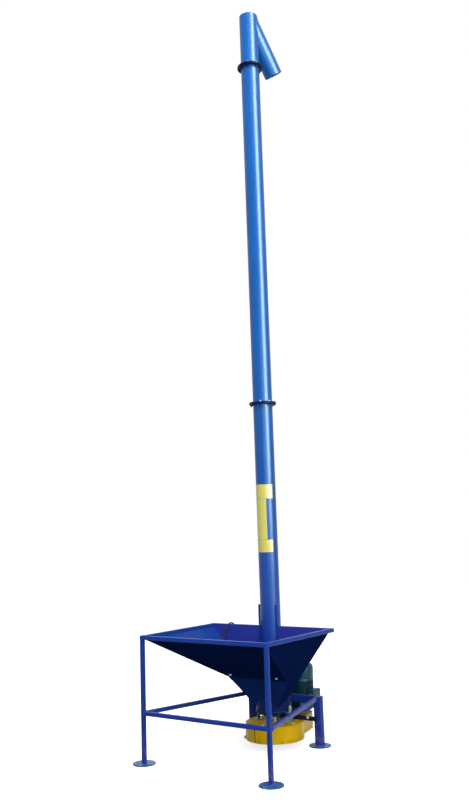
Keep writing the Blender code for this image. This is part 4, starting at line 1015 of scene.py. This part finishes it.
# Painted shadow: the dark strips stand for the dark lines of the skirt's open seams.
seam_shadow_strips = [
    film(guard_low + 0.002, guard_high - 0.004, 221.5, 230.5, 0.1962, 0.0018),
    film(guard_low, guard_high - 0.001, 260.1, 261.7, 0.1987, 0.0012),
]
piece("guard_seam_strips", seam_shadow_strips, flange_enamel)
low, high, centre = middle("guard_hanger_bar")
path = [(x, centre[1], centre[2]) for x in (low[0], high[0])]
shapes = [skin(carried(path, square_ring(high[1] - low[1], high[2] - low[2], 0.001, 3)))]
piece("guard_hanger_flat", shapes, flange_enamel, ["guard_hanger_bar"])
guard_bolts = []
for x in (-0.198, 0.198):
    guard_bolts += hex_bolt((x, low[1], centre[2] + 0.004), (0, -1, 0))
guard_top_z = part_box("guard_top")[1][2]
for x, y in ((0.0107, -0.1591), (-0.1591, 0.0107), (0.1591, -0.0107)):
    guard_bolts += hex_bolt((x, AXIS_Y + y, guard_top_z), (0, 0, 1), 0.013, 0.006)
strap = Finish("strap_dull_zinc", metallic=0.7, roughness=0.42)
strap.bump(strap.noise(300, 2), 0.15, 0.0004)
tone = strap.mix(strap.noise(22, 5), hue("84937f"), hue("56634e"))
strap_zinc = strap.put(base_color=tone, roughness=0.36 + strap.noise(30) * 0.25)
for hand, sign in (("left", -1), ("right", 1)):
    smoothed(f"guard_strap_{hand}", strap_zinc)
    low, high, centre = middle(f"guard_strap_{hand}")
    inner, outer = sorted(np.abs([low[0], high[0]]))
    guard_bolts += hex_bolt((sign * (inner + 0.01), centre[1], low[2] + 0.004), (0, 0, 1))
    guard_bolts += hex_bolt((sign * outer, centre[1], high[2] - 0.012), (sign, 0, 0))
piece("guard_bolts", guard_bolts, zinc_bolt)

# --- Floor and light ---
# A pale floor that runs out to white, a tall soft light from the right, a weaker one from the front and an
# even sky.

floor_mesh = bpy.data.meshes.new("studio_floor")
floor_mesh.from_pydata([(-14, -12, 0), (14, -12, 0), (14, 16, 0), (-14, 16, 0)], [], [(0, 1, 2, 3)])
floor = bpy.data.objects.new("studio_floor", floor_mesh)
bpy.context.scene.collection.objects.link(floor)


def seen_by(nodes, *rays):
    """1 for rays of the kinds named and 0 for others: the largest of their light-path outputs."""
    seen = [nodes.node("ShaderNodeLightPath", {}, {}, f"Is {ray} Ray") for ray in rays]
    largest = seen[0]
    for other in seen[1:]:
        largest = largest.maths("MAXIMUM", largest, other)
    return largest


ground = Finish("studio_floor_white", roughness=0.9)
seen = seen_by(ground, "Camera", "Glossy")
shade = ground.mix(seen, (0.03, 0.033, 0.045), (0.95, 0.95, 0.95))
white = ground.put(base_color=shade, emission_color=(1, 1, 1), emission_strength=seen * 0.72)
floor_mesh.materials.append(white)

world = bpy.data.worlds.new("studio_sky")
bpy.context.scene.world = world
world.use_nodes = True
sky = Nodes(world.node_tree)
seen = seen_by(sky, "Camera", "Glossy", "Transmission")
sky.link(sky.tree.nodes["Background"].inputs["Color"], sky.mix(seen, (0.26, 0.28, 0.32), (1, 1, 1)))


def softbox(name, azimuth, height, distance, width, tall, power, facing):
    """An area light at an azimuth from +X round the tube, turned to face the tube at a height."""
    data = bpy.data.lights.new(name, "AREA")
    data.shape = "RECTANGLE"
    data.size = width
    data.size_y = tall
    data.energy = power
    light = bpy.data.objects.new(name, data)
    turn = math.radians(azimuth)
    place = Vector((math.cos(turn) * distance, AXIS_Y + math.sin(turn) * distance, height))
    light.location = place
    aim = Vector((0, AXIS_Y, facing)) - place
    light.rotation_euler = aim.to_track_quat("-Z", "Y").to_euler()
    bpy.context.scene.collection.objects.link(light)
    return light


overhead = softbox("high_soft_box", -52, 8.6, 5.2, 3.6, 3.6, 620, 2.2)
softbox("low_soft_box", -46, 2.6, 6.0, 3.0, 3.0, 150, 1.2)
card = softbox("reflection_card", -9, 6.2, 6.5, 3.8, 9.6, 3600, 5.6)
overhead.visible_glossy = False
card.visible_diffuse = False
